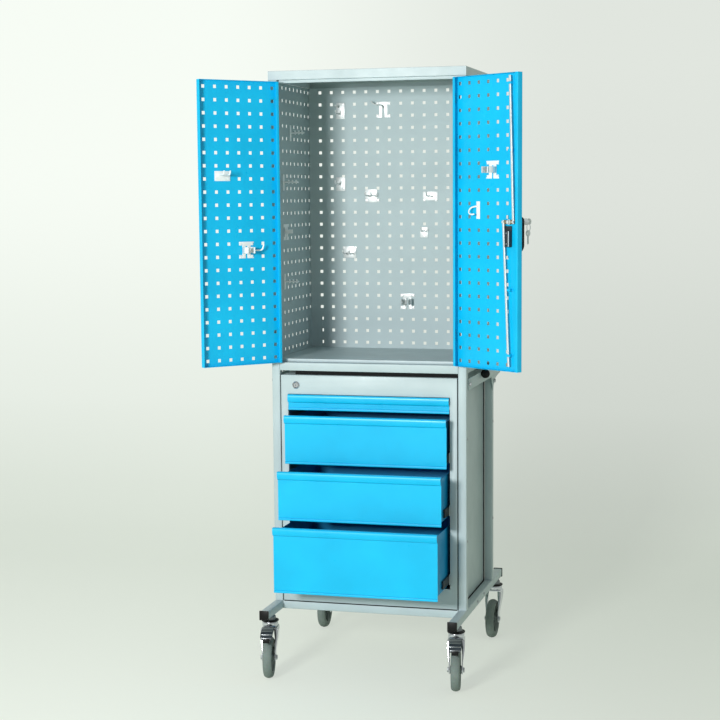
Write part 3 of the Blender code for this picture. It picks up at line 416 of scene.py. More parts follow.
def settled(made):
    """The mesh of an object with its modifiers, or its wire's thickness, worked in."""
    bpy.context.view_layer.update()
    return bpy.data.meshes.new_from_object(made.evaluated_get(bpy.context.evaluated_depsgraph_get()))


def bent_wire(points, thickness):
    """Round wire along a line of points, with its corners bent in a curve and its ends closed."""
    curve = bpy.data.curves.new("wire", "CURVE")
    curve.dimensions = "3D"
    curve.bevel_depth = thickness / 2
    curve.bevel_resolution = 2
    curve.use_fill_caps = True
    spline = curve.splines.new("NURBS")
    spline.points.add(len(points) - 1)
    for knot, point in zip(spline.points, points):
        knot.co = (*point, 1)
    spline.order_u = 3
    spline.use_endpoint_u = True
    spline.resolution_u = 6
    spare = stand("wire", curve)
    mesh = settled(spare)
    bm = bmesh.new()
    bm.from_mesh(mesh)
    bpy.data.objects.remove(spare)
    bpy.data.meshes.remove(mesh)
    bmesh.ops.remove_doubles(bm, verts=bm.verts, dist=0.00001)
    bmesh.ops.recalc_face_normals(bm, faces=bm.faces)
    return bm


def piece(name, bm, material, body, place=CART, stands_for=(), wall=0.0):
    """A finished piece with its place in its points, that rides on one body of the cart."""
    bmesh.ops.transform(bm, matrix=place, verts=bm.verts)
    for face in bm.faces:
        face.smooth = True
    mesh = bpy.data.meshes.new(name)
    bm.to_mesh(mesh)
    bm.free()
    mesh.materials.append(material)
    made = stand(name, mesh)
    if wall:
        thick = made.modifiers.new("Sheet thickness", "SOLIDIFY")
        thick.thickness = wall
        thick.offset = 0
        thick.use_even_offset = True
        folded = settled(made)
        made.modifiers.clear()
        made.data = folded
        folded.name = name
    made.data.set_sharp_from_angle(angle=CRISP_TURN)
    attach(made, body)
    if stands_for:
        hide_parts(*stands_for)


def softened(node, material, fold, least, ending="_shell"):
    """A solid of the frame with its long outer folds rounded, as a bent or drawn section has them."""
    bm = bmesh.new()
    bm.from_mesh(nodes[node].data)
    bmesh.ops.remove_doubles(bm, verts=bm.verts, dist=0.000002)
    bmesh.ops.dissolve_limit(
        bm, angle_limit=math.radians(0.3), verts=bm.verts, edges=bm.edges, use_dissolve_boundaries=False)
    folds = [
        edge for edge in bm.edges
        if edge.is_manifold and edge.calc_length() > least
        and edge.calc_face_angle_signed(0) > math.radians(40)
    ]
    round_off(bm, folds, fold)
    piece(node + ending, bm, material, nodes[node]["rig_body"], Matrix.Identity(4), [node])


def coated(material, *names):
    """Gives a finish to solids of the frame whose own shape is kept."""
    for name in names:
        nodes[name].data.materials.clear()
        nodes[name].data.materials.append(material)


# Camera at the photograph's viewing place
camera_data = bpy.data.cameras.new("photo_camera")
camera_data.sensor_width = 36
camera_data.lens = 82.135
camera_data.shift_x = -0.01874
camera_data.shift_y = 0.03765
camera_data.clip_end = 60
camera = stand("photo_camera", camera_data)
yaw, pitch, roll = (math.radians(angle) for angle in (-14.9387, -6.6357, -0.42378))
ahead = Vector((math.sin(yaw) * math.cos(pitch), math.cos(yaw) * math.cos(pitch), math.sin(pitch)))
level = Vector((math.cos(yaw), -math.sin(yaw), 0))
above = level.cross(ahead)
across = math.cos(roll) * level + math.sin(roll) * above
upward = -math.sin(roll) * level + math.cos(roll) * above
turn = Matrix((across, upward, -ahead)).transposed().to_4x4()
CAMERA_PLACE = (1.251947, -4.895949, 1.439160)
camera.matrix_world = Matrix.Translation(CAMERA_PLACE) @ turn
bpy.context.scene.camera = camera

# Frame of square tube, with the rounded corners of a drawn section
TUBE_CORNER = 0.0024
for node in nodes:
    if node.startswith(("base_rail", "base_cross", "post_", "top_rail", "top_cross")):
        softened(node, grey_coat, TUBE_CORNER, 0.1, "_tube")

# Black plugs in the open ends of the base rails, with a square head and a neck inside the tube
HEAD_HALF, HEAD_DEPTH = TUBE / 2 + 0.0020, 0.0045
NECK_HALF, NECK_DEPTH = TUBE / 2 - 0.0018, 0.014
for side, sign in SIDES:
    for end, y, out in (("front", RAIL_FRONT_Y, -1), ("rear", RAIL_REAR_Y, 1)):
        x, z = sign * (HALF_WIDTH - TUBE / 2), RAIL_TOP_Z - TUBE / 2
        blocks = [
            rounded_block((x - half, min(y, far), z - half), (x + half, max(y, far), z + half), radius)
            for half, far, radius in (
                (HEAD_HALF, y + out * HEAD_DEPTH, 0.0012), (NECK_HALF, y - out * NECK_DEPTH, 0.001))
        ]
        piece("rail_plug_" + end + "_" + side, gathered(*blocks), black_nylon, "cart")

# Cabinet: top pan, floor and back as their solids are, and the perforated sides as folded sheets
softened("cabinet_top", grey_coat, 0.0012, 0.15)
softened("cabinet_floor", grey_coat, 0.0008, 0.15)
coated(liner_coat, "cabinet_back")
SIDE_COLUMNS = 10
SIDE_LAST_COLUMN_Y = -0.0045
PAN_GAP = 0.0003
for side, sign in SIDES:
    mid = SHEET / 2
    skin_x = sign * (HALF_WIDTH - mid)
    jamb_x = sign * (HALF_WIDTH - JAMB_WIDTH + mid)
    section = (
        (jamb_x, FRONT_Y + JAMB_DEPTH), (jamb_x, FRONT_Y + mid), (skin_x, FRONT_Y + mid),
        (skin_x, REAR_Y - mid), (jamb_x, REAR_Y - mid))
    height = CABINET_TOP_Z - FASCIA_HEIGHT - PAN_GAP - CABINET_BOTTOM_Z
    panel = drawn_sheet([(x, y, CABINET_BOTTOM_Z) for x, y in section], (0, 0, height))
    round_off(panel, [edge for edge in panel.edges if len(edge.link_faces) == 2], 0.002, 3)
    columns = [SIDE_LAST_COLUMN_Y - n * PITCH for n in range(SIDE_COLUMNS)]
    punch(panel, (1, columns), (2, [TOP_ROW_Z - k * PITCH for k in range(ROWS)]))
    node = "cabinet_side_" + side
    piece(node + "_panel", panel, liner_coat, "cart", CART, [node], wall=SHEET)

# Doors and the drawer unit keep the shapes of their solids, with the folds rounded
for node in ("door_left", "door_right"):
    softened(node, blue_coat, 0.001, 0.2)
softened("drawer_unit_shell", grey_coat, 0.0008, 0.15)

# Lip turned in along the inner end of each door's hinge flange
for side, sign in SIDES:
    low, high = (corner - to_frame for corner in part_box("door_" + side))
    ends = sorted((-sign * 0.0034, -sign * 0.0120))
    lip = rounded_block((ends[0], 0.0174, low.z + 0.0004), (ends[1], 0.0184, high.z - 0.0004), 0.0003)
    piece("door_lip_" + side, lip, blue_coat, "door_" + side, DOORS[side])

# Black strips in the gaps between the drawer unit and the frame: painted shade that stands in for the dark of
# those gaps
UNIT_TOP_Z = 0.9041
UNIT_SIDE_X = 0.272
SHADE_FILL_FRONT_Y = -0.3770
for side, sign in SIDES:
    strips = []
    for low, high in (
            ((UNIT_SIDE_X + 0.0002, SHADE_FILL_FRONT_Y, 0.1980), (UNIT_SIDE_X + 0.0028, -0.0004, 0.2068)),
            ((UNIT_SIDE_X - 0.0160, SHADE_FILL_FRONT_Y, 0.2052), (UNIT_SIDE_X + 0.0010, -0.0004, 0.2072)),
            ((UNIT_SIDE_X + 0.0001, -0.0034, 0.2078), (UNIT_SIDE_X + 0.0032, -0.0003, UNIT_TOP_Z - 0.0004)),
            ((UNIT_SIDE_X + 0.0002, FRONT_Y + 0.0030, 0.2078),
             (UNIT_SIDE_X + 0.0028, FRONT_Y + 0.0230, UNIT_TOP_Z))):
        ends = sorted((sign * low[0], sign * high[0]))
        strips.append(rounded_block((ends[0], *low[1:]), (ends[1], *high[1:]), 0.0003, 1))
    piece("unit_strip_" + side, gathered(*strips), gap_shade_black, "cart")
# A dark line along the unit's foot and a dark band behind its top edge: painted shade
SHADE_LINE_HALF = UNIT_SIDE_X - 0.0010
low_shade_line = rounded_block((-SHADE_LINE_HALF, FRONT_Y - 0.0002, 0.2058), (SHADE_LINE_HALF, FRONT_Y + 0.0194, 0.2092), 0.0003, 1)
top_gap_shade = rounded_block((-0.2320, -0.3860, UNIT_TOP_Z + 0.0003), (0.2700, -0.3800, 0.9175), 0.0008, 1)
piece("unit_strip_front", gathered(low_shade_line, top_gap_shade), gap_shade_black, "cart")

# Drawer fronts: one sheet each, with a rolled grip along the top and a hem along the foot
FRONT_HALF = 0.2488
FRONT_SHEET = 0.0012
GRIP_OUT = 0.0110
GRIP_HEIGHT = 0.0240
hem = [(0.0010, 0), (-0.0010, 0), (-0.0010, 0.0056), (0.0014, 0.0060), (0.0014, 0.0074), (0, 0.0080)]
grip = [(0, -GRIP_HEIGHT), (-0.0070, 0.0012 - GRIP_HEIGHT), (-GRIP_OUT, -0.0090), (0.0020 - GRIP_OUT, 0),
        (0.0010, 0)]
for number in range(1, 5):
    tag = "drawer_" + str(number)
    low, high = (corner - to_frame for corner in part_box(tag + "_front"))
    face = low.y + GRIP_OUT + FRONT_SHEET / 2
    foot, head = low.z + FRONT_SHEET / 2, high.z - FRONT_SHEET / 2
    front = folded_sheet(
        [(-FRONT_HALF, face + y, edge + z) for edge, line in ((foot, hem), (head, grip)) for y, z in line],
        (2 * FRONT_HALF, 0, 0),
        (0.0008, 0.0005, 0.0002, 0.0002, 0.0004, 0.0008, 0.0050, 0.0200, 0.0070))
    piece(tag + "_front_sheet", front, blue_coat, tag, CART, [tag + "_front"], wall=FRONT_SHEET)
    # The drawer boxes take the darker blue, whose depth is painted shade
    coated(shaded_box_coat, tag + "_box")
    # The slides take the dark zinc, whose darkness is painted shade
    coated(shaded_slide_zinc, "slide_" + str(number) + "_left", "slide_" + str(number) + "_right")

# Hinges, rods, and the lock on the right door: a stepped case that clears the cam, with a pale zinc strip
# along one edge that is a painted highlight
coated(dull_zinc, "hinge_lower_left", "hinge_lower_right", "hinge_upper_left", "hinge_upper_right")
for node in ("rod_upper", "rod_lower"):
    softened(node, wire_zinc, 0.0014, 0.1)
CASE_TOP_Z = LOCK_Z - 0.0245
housing = rounded_block((-0.2262, 0.0016, LOCK_Z - 0.0700), (-0.2090, 0.0164, CASE_TOP_Z), 0.0014, 3)
shoulder = rounded_block(
    (-0.2262, 0.0016, CASE_TOP_Z - 0.0010), (-0.1945, 0.0058, LOCK_Z - 0.0115), 0.0012, 3)
piece(
    "lock_housing_case", gathered(housing, shoulder), dark_nylon, "door_right", RIGHT_DOOR, ["lock_housing"])
# The pale strip down the case's edge is a painted highlight, not a part
case_painted_highlight = rounded_block((-0.2266, 0.0150, LOCK_Z - 0.0690), (-0.2238, 0.0169, CASE_TOP_Z - 0.0010), 0.0005)
piece("lock_case_edge", case_painted_highlight, wire_zinc, "door_right", RIGHT_DOOR)
softened("handle_plate", black_nylon, 0.0014, 0.02)
coated(yellow_zinc, "lock_cam")
coated(black_nylon, "door_handle")

# Rear corner plates that join back and sides, standing on the floor panel
FLOOR_Z = 0.9520
PLATE_SHEET = 0.0012
PLATE_HEIGHT = 0.104
PLATE_HOLE_IN = 0.0215
for side, sign in SIDES:
    skin = sign * (HALF_WIDTH - SHEET)
    plate = folded_sheet(
        [(skin - sign * inward, BACK_Y - ahead, FLOOR_Z)
         for inward, ahead in ((0.0008, 0.0225), (0.0008, 0.0008), (0.0380, 0.0008))],
        (0, 0, PLATE_HEIGHT), (0.0015,))
    punch(plate, (0, [skin - sign * PLATE_HOLE_IN]), (2, [FLOOR_Z + 0.055, FLOOR_Z + 0.0935]))
    piece("rear_corner_plate_" + side, plate, liner_coat, "cart", wall=PLATE_SHEET)

# Hinge knuckles round each pin, and the leaf on the door's flange
PIN_RADIUS = 0.0029
for side, sign in SIDES:
    for level, low in (("lower", 1.0150), ("upper", 1.6980)):
        for part, start, end, body in (
                ("a", 0.0003, 0.0112, "cart"), ("b", 0.0118, 0.0232, "door_" + side),
                ("c", 0.0238, 0.0347, "cart")):
            outside = ((0, start), (0.0010, start), (0.0013, start + 0.0004), (0.0013, end - 0.0004),
                       (0.0010, end), (0, end), (0, start))
            knuckle = turned([(PIN_RADIUS + thick, z) for thick, z in outside], 24)
            piece(
                "hinge_knuckle_" + level + "_" + side + "_" + part, knuckle, zinc, body,
                CART @ Matrix.Translation((sign * HINGE_X, HINGE_Y, low)))
        leaf = rounded_block(
            (-sign * 0.0032, 0.0030, low + 0.0010), (-sign * 0.0042, 0.0168, low + 0.0340), 0.0003, 1)
        rivets = [
            (screw_head(0.0026, 0.0012), facing(-sign * 0.0042, 0.0110, low + up, (-sign, 0, 0)))
            for up in (0.0090, 0.0260)
        ]
        piece(
            "hinge_leaf_" + level + "_" + side, gathered(leaf, *rivets), dull_zinc, "door_" + side,
            DOORS[side])

# Rod guides at the head and foot of the right door, and the pins that the rods hang on
GUIDE_SHEET = 0.0008
GUIDE = ((-0.0095, 0.0020), (-0.0052, 0.0020), (-0.0052, 0.0145), (0.0052, 0.0145), (0.0052, 0.0020),
         (0.0095, 0.0020))
guides = []
for u, z in ((0.2255, 1.745), (0.2255, 1.560), (0.2235, 0.985), (0.2230, 1.170)):
    guides.append(folded_sheet(
        [(x - u, y, z) for x, y in GUIDE], (0, 0, 0.0070), (0.0008, 0.0012, 0.0012, 0.0008)))
piece("rod_guides", gathered(*guides), blue_coat, "door_right", RIGHT_DOOR, wall=GUIDE_SHEET)
pins = [
    (screw_head(0.0042, 0.0022), facing(-LOCK_AT + offset, 0.0136, LOCK_Z, (0, 1, 0)))
    for offset in (-0.0195, 0.0195)
]
nut = (bolt_head(0.010, 0.0055, 0.0072), facing(-LOCK_AT, 0.0093, LOCK_Z, (0, 1, 0)))
piece("lock_cam_pins", gathered(*pins, nut), wire_zinc, "lock", RIGHT_DOOR)
case_screws = [
    (screw_head(0.0022, 0.0012), facing(-0.2176, 0.0164, z, (0, 1, 0))) for z in (1.3330, 1.3030)
]
piece("lock_case_screws", gathered(*case_screws), zinc, "door_right", RIGHT_DOOR)

# Swing handle: hub and shaft, then a lever that stands off the door and bends back at its foot
LEVER_WIDTH = 0.0170
LEVER_THICKNESS = 0.0080
lever = folded_sheet(
    [(-LOCK_AT - LEVER_WIDTH / 2, y, LOCK_Z + up)
     for y, up in ((-0.0120, 0.0095), (-0.0410, 0.0095), (-0.0410, -0.0740), (-0.0130, -0.0940))],
    (LEVER_WIDTH, 0, 0), (0.0080, 0.0160))
piece("door_handle_lever", lever, black_nylon, "lock", RIGHT_DOOR, ["door_handle"], wall=LEVER_THICKNESS)
hub = turned(
    [(0, -0.0060), (0.0050, -0.0060), (0.0050, 0.0050), (0.0086, 0.0055), (0.0090, 0.0080), (0.0086, 0.0360),
     (0.0070, 0.0390), (0, 0.0395)], 32)
hub_place = facing(-LOCK_AT, 0, LOCK_Z, (0, -1, 0))
piece("door_handle_hub", gathered((hub, hub_place)), black_nylon, "lock", RIGHT_DOOR)
cylinder = turned([
    (0, 0.0440), (0.0092, 0.0440), (0.0092, 0.0610), (0.0084, 0.0622), (0.0060, 0.0622), (0.0058, 0.0616),
    (0, 0.0616)], 32)
KEY_HALF = 0.0010
keys = []
for v, z in ((-0.0730, LOCK_Z), (-0.0690, LOCK_Z - 0.0330)):
    bow = turned(
        [(0.0022, 0), (0.0085, 0), (0.0090, 0.0004), (0.0090, 0.0016), (0.0085, 0.0020), (0.0022, 0.0020),
         (0.0022, 0)], 24)
    keys.append((bow, facing(-LOCK_AT - KEY_HALF, v, z, (1, 0, 0))))
keys.append(rounded_block(
    (-LOCK_AT - KEY_HALF, -0.0715, LOCK_Z - 0.0640), (-LOCK_AT + KEY_HALF, -0.0665, LOCK_Z - 0.0410), 0.0003))
keys.append(rounded_block(
    (-LOCK_AT - KEY_HALF, -0.0655, LOCK_Z - 0.0030), (-LOCK_AT + KEY_HALF, -0.0600, LOCK_Z + 0.0030), 0.0003))
RING_RADIUS = 0.0120
RING_WIRE = 0.0009
key_ring = turned([
    (RING_RADIUS + RING_WIRE * math.cos(turn), RING_WIRE * math.sin(turn))
    for turn in (a * math.pi / 5 for a in range(11))], 32)
keys.append((key_ring, facing(-LOCK_AT + 0.0004, -0.0715, LOCK_Z - 0.0165, (0.94, 0.34, 0))))
piece("door_handle_cylinder", gathered((cylinder, hub_place)), chrome, "lock", RIGHT_DOOR)
piece("door_handle_keys", gathered(*keys), wire_zinc, "lock", RIGHT_DOOR)

# Unit lock: a chromed rose round a cylinder with a key slot
LOCK_FACE = facing(-0.2245, FRONT_Y, 0.874, (0, -1, 0))
rose = turned(
    [(0.0078, -0.0010), (0.0115, -0.0010), (0.0115, 0.0012), (0.0108, 0.0022), (0.0092, 0.0028),
     (0.0082, 0.0022), (0.0078, 0.0008)], 40)
barrel = turned([(0, -0.0180), (0.0075, -0.0180), (0.0075, 0.0016), (0.0070, 0.0021), (0, 0.0021)], 32)
piece(
    "unit_lock_rose", gathered((rose, LOCK_FACE), (barrel, LOCK_FACE)), chrome, "unit_lock", CART,
    ["unit_lock"])
slit = rounded_block((-0.0006, -0.0036, 0.0016), (0.0006, 0.0036, 0.0023), 0.0002)
piece("unit_lock_key_slot", slit, black_nylon, "unit_lock", CART @ LOCK_FACE)

# Empty zinc hooks and clips: a plate on the panel, lugs through its holes, and round wire that comes forward
HOOK_PLATE = 0.0014
STRAP = 0.0042
WIRE = 0.0046
ARM_SHEET = 0.0011


def hook(name, body, place, plate, holes, wires=(), arms=(), metal=wire_zinc):
    """A hook seen along the panel's inside and drawn about one hole. Holes are counted in pitches from it."""
    left, right, foot, head = plate
    outline = [(left, foot), (right, foot), (right, head), (left, head)]
    if len(holes) == 4:
        # Openwork: narrow straps run out to the four lugs, and a slot comes up between the two legs
        middle, slot_top = (left + right) / 2, head - 0.0130
        slot_left, slot_right = middle - 0.0028, middle + 0.0028
        waist_left, waist_right = left + 0.0105, right - 0.0105
        waist_foot, waist_head = foot + STRAP + 0.0020, head - STRAP - 0.0020
        outline = [
            (left, foot), (slot_left, foot), (slot_left, slot_top), (slot_right, slot_top),
            (slot_right, foot), (right, foot), (right, foot + STRAP), (waist_right, waist_foot),
            (waist_right, waist_head),
            (right, head - STRAP), (right, head), (left, head), (left, head - STRAP),
            (waist_left, waist_head), (waist_left, waist_foot), (left, foot + STRAP),
        ]
    parts = [cut_plate([(across, -0.0002, up) for across, up in outline], (0, -HOOK_PLATE, 0), 0.0004)]
    for column, row in holes:
        x, z = column * PITCH, row * PITCH
        lug = rounded_block((x - 0.0038, -0.0018, z - 0.0040), (x + 0.0038, 0.0034, z + 0.0040), 0.0006)
        parts.append(lug)
    parts += [bent_wire(points, WIRE) for points in wires]
    piece(name, gathered(*parts), metal, body, place)
    if arms:
        middle, foot, reach = arms
        line = ((0.0030, -0.0024), (0.0150, -0.0040), (0.0190, -0.5 * reach), (0.0080, -0.85 * reach),
                (0.0120, -reach))
        curved = [
            folded_sheet(
                [(middle + sign * x, y, foot) for x, y in line], (0, 0, 0.018), (0.004, 0.012, 0.004))
            for sign in (-1, 1)
        ]
        piece(name + "_arms", gathered(*curved), wire_zinc, body, place, wall=ARM_SHEET)


def prong(across, up, out, rise):
    """A wire that leaves the plate, runs forward and turns up at its end."""
    return [(across, -0.0016, up), (across, -0.55 * out, up), (across, -out, up), (across, -out, up + rise)]


# Four holes to the left or right of the one that a hook is drawn about
FOUR_LEFT = ((0, 0), (-1, 0), (0, -1), (-1, -1))
FOUR_RIGHT = ((0, 0), (1, 0), (0, -1), (1, -1))
# By name: column and row on the panel, then the plate's left, right, foot and head, the holes that its lugs
# go through, its wires, and the middle, foot and reach of its two spring arms if it has them
BACK_HOOKS = {
    "back_1": (2, 1, (-0.0220, 0.0060, -0.0460, 0.0050), ((0, 0), (0, -1)),
               (prong(-0.0120, -0.0300, 0.045, 0.010), prong(-0.0160, -0.0080, 0.030, 0.006))),
    "back_2": (6, 1, (-0.0430, 0.0050, -0.0440, 0.0060), FOUR_LEFT,
               ([(-0.0190, -0.0020, -0.0150), (-0.0180, -0.0150, -0.0040), (-0.0480, -0.0170, -0.0040),
                 (-0.0540, -0.0170, 0.0070)],)),
    "back_3": (2, 7, (-0.0240, 0.0060, -0.0460, -0.0020), ((0, -1),),
               (prong(-0.0140, -0.0240, 0.050, 0.012),)),
    "back_4": (4, 8, (-0.0040, 0.0360, -0.0450, -0.0030), ((0, -1), (1, -1)),
               (prong(0.0080, -0.0240, 0.050, 0.012), prong(0.0280, -0.0240, 0.050, 0.012))),
    "back_5": (9, 8, (-0.0050, 0.0430, -0.0400, -0.0120), ((0, -1), (1, -1)),
               (prong(0.0190, -0.0260, 0.055, 0.014),)),
    "back_6": (2, 13, (-0.0010, 0.0390, -0.0320, 0.0050), ((0, 0), (1, 0)),
               (prong(0.0080, -0.0180, 0.045, 0.012), prong(0.0300, -0.0180, 0.045, 0.012))),
    "back_7": (9, 11, (-0.0140, 0.0120, -0.0430, -0.0100), ((0, -1),), (prong(0.0, -0.0220, 0.050, 0.012),)),
    "back_8": (7, 17, (-0.0050, 0.0430, -0.0440, 0.0060), FOUR_RIGHT, (), (0.0190, -0.0280, 0.036)),
}
for name, (column, row, *values) in BACK_HOOKS.items():
    hole = (FIRST_COLUMN_X + column * PITCH, BACK_Y, TOP_ROW_Z - row * PITCH)
    hook("hook_" + name, "cart", CART @ Matrix.Translation(hole), *values)
# By name: column and row on the left side, columns of lugs, and how far the wires come out
WALL_HOOKS = {
    "wall_1": (5, 3, 1, 0.045), "wall_2": (7, 7, 1, 0.048), "wall_3": (6, 11, 2, 0.016),
    "wall_4": (7, 15, 1, 0.046),
}
for name, (column, row, columns, out) in WALL_HOOKS.items():
    hole = (-HALF_WIDTH + SHEET, SIDE_LAST_COLUMN_Y - column * PITCH, TOP_ROW_Z - row * PITCH)
    left = -0.0070 - (columns - 1) * PITCH
    holes = [(-n, -level) for n in range(columns) for level in (0, 1)]
    wires = []
    for n in range(columns):
        across = -n * PITCH
        wires.append([(across, y, -0.0190) for y in (-0.0016, -0.5 * out, -out)])
        for step in (0.35, 0.6, 0.85):
            wires.append([(across, -step * out, z) for z in (-0.0240, -0.0190, -0.0120)])
    # These hooks take the zinc with painted light
    hook(
        "hook_" + name, "cart", CART @ Matrix.Translation(hole) @ Matrix.Rotation(math.pi / 2, 4, "Z"),
        (left, 0.0070, -0.0440, 0.0050), holes, wires, metal=painted_light_zinc)
# The doors' hooks are given as the back's are. This is where the door's inner face lies from its hinge pin
SKIN_IN = 0.0014
for name, side, column, row, plate, holes, wires, arms in (
        ("door_1", "left", 4, 7, (-0.0440, 0.0070, -0.0060, 0.0230), ((0, 0), (-1, 0)),
         (prong(-0.0100, 0.0120, 0.035, 0.012), prong(-0.0300, 0.0120, 0.035, 0.012)), ()),
        ("door_2", "left", 2, 12, (-0.0430, 0.0060, -0.0430, 0.0060), FOUR_LEFT,
         ([(-0.0050, -0.0020, -0.0200), (0.0120, -0.0060, -0.0200), (0.0300, -0.0160, -0.0200),
           (0.0310, -0.0160, -0.0040)],),
         (-0.0190, -0.0280, 0.034)),
        ("door_3", "right", 3, 6, (-0.0060, 0.0440, -0.0440, 0.0060), FOUR_RIGHT, (),
         (0.0190, -0.0280, 0.034)),
        ("door_4", "right", 2, 9, (-0.0080, 0.0060, -0.0440, 0.0060), ((0, 0), (0, -1)),
         ([(-0.0020, -0.0020, -0.0080), (-0.0160, -0.0080, -0.0080), (-0.0260, -0.0160, -0.0200),
           (-0.0160, -0.0200, -0.0330), (-0.0020, -0.0160, -0.0300)],), ())):
    sign = 1 if side == "left" else -1
    hole = (sign * (DOOR_FIRST_COLUMN + column * PITCH), SKIN_IN, DOOR_TOP_ROW_Z - row * PITCH)
    place = DOORS[side] @ Matrix.Translation(hole) @ Matrix.Rotation(math.pi, 4, "Z")
    # These hooks take the zinc with painted light
    hook("hook_" + name, "door_" + side, place, plate, holes, wires, arms, painted_light_zinc)

# Push handle: round tube bent behind the cart, a plug in each end, and its two brackets
HANDLE_RADIUS = 0.014
BRACKET_GAP = 0.0006
BRACKET_SHEET = 0.003
HANDLE_X = HALF_WIDTH + BRACKET_GAP + BRACKET_SHEET + HANDLE_RADIUS
HANDLE_BEND = 0.060
HANDLE_START_Y = -0.202
HANDLE_REAR_Y = 0.185
HANDLE_BEND_Y = HANDLE_REAR_Y - HANDLE_BEND
HANDLE_BEND_X = HANDLE_X - HANDLE_BEND
HANDLE_Z = 0.8985
grip = bmesh.new()
bmesh.ops.create_circle(
    grip, segments=28, radius=HANDLE_RADIUS, matrix=facing(HANDLE_X, HANDLE_START_Y, HANDLE_Z, (0, 1, 0)))
ring = grip.edges[:]
for straight, centre in (
        ((0, HANDLE_BEND_Y - HANDLE_START_Y, 0), (HANDLE_BEND_X, HANDLE_BEND_Y, HANDLE_Z)),
        ((-2 * HANDLE_BEND_X, 0, 0), (-HANDLE_BEND_X, HANDLE_BEND_Y, HANDLE_Z)),
        ((0, HANDLE_START_Y - HANDLE_BEND_Y, 0), None)):
    drawn = bmesh.ops.extrude_edge_only(grip, edges=ring)
    move_drawn(grip, drawn, straight)
    ring = [edge for edge in drawn["geom"] if isinstance(edge, bmesh.types.BMEdge) and edge.is_boundary]
    if centre:
        spun = bmesh.ops.spin(
            grip, geom=ring + list({vert for edge in ring for vert in edge.verts}), cent=centre,
            axis=(0, 0, 1), angle=math.pi / 2, steps=12)
        ring = [edge for edge in spun["geom_last"] if isinstance(edge, bmesh.types.BMEdge)]
bmesh.ops.holes_fill(grip, edges=[edge for edge in grip.edges if edge.is_boundary], sides=0)
bmesh.ops.recalc_face_normals(grip, faces=grip.faces)
piece("push_handle_tube", grip, grey_coat, "cart", CART, ["push_handle"])
for side, sign in SIDES:
    plug = turned(
        [(0, 0), (0.0138, 0), (0.0140, 0.0010), (0.0132, 0.0026), (0.0105, 0.0036), (0, 0.0040)], 28)
    piece(
        "push_handle_plug_" + side, plug, black_nylon, "cart",
        CART @ facing(sign * HANDLE_X, HANDLE_START_Y, HANDLE_Z, (0, -1, 0)))
    softened("handle_bracket_" + side, grey_coat, 0.0008, 0.004)
    bolts = [
        (bolt_head(0.010, 0.0045, 0.0075), facing(sign * (HALF_WIDTH + 0.0033), y, z, (sign, 0, 0)))
        for y, z in ((-0.372, 0.885), (0.0125, 0.885), (0.0125, 0.853))
    ]
    piece("bracket_bolts_" + side, gathered(*bolts), zinc, "cart")
    # Screws that hold the drawer unit to the posts, and the base rail's bolts
    screws = [
        (screw_head(0.0042, 0.0022), facing(sign * HALF_WIDTH, y, z, (sign, 0, 0)))
        for y, z in ((-0.3905, 0.7221), (-0.3905, 0.4150), (0.0125, 0.7221), (0.0125, 0.4095))
    ]
    screws += [
        (bolt_head(0.008, 0.0032), facing(sign * HALF_WIDTH, y, 0.1945, (sign, 0, 0)))
        for y in (-0.1326, -0.2368)
    ]
    piece("post_screws_" + side, gathered(*screws), zinc, "cart")

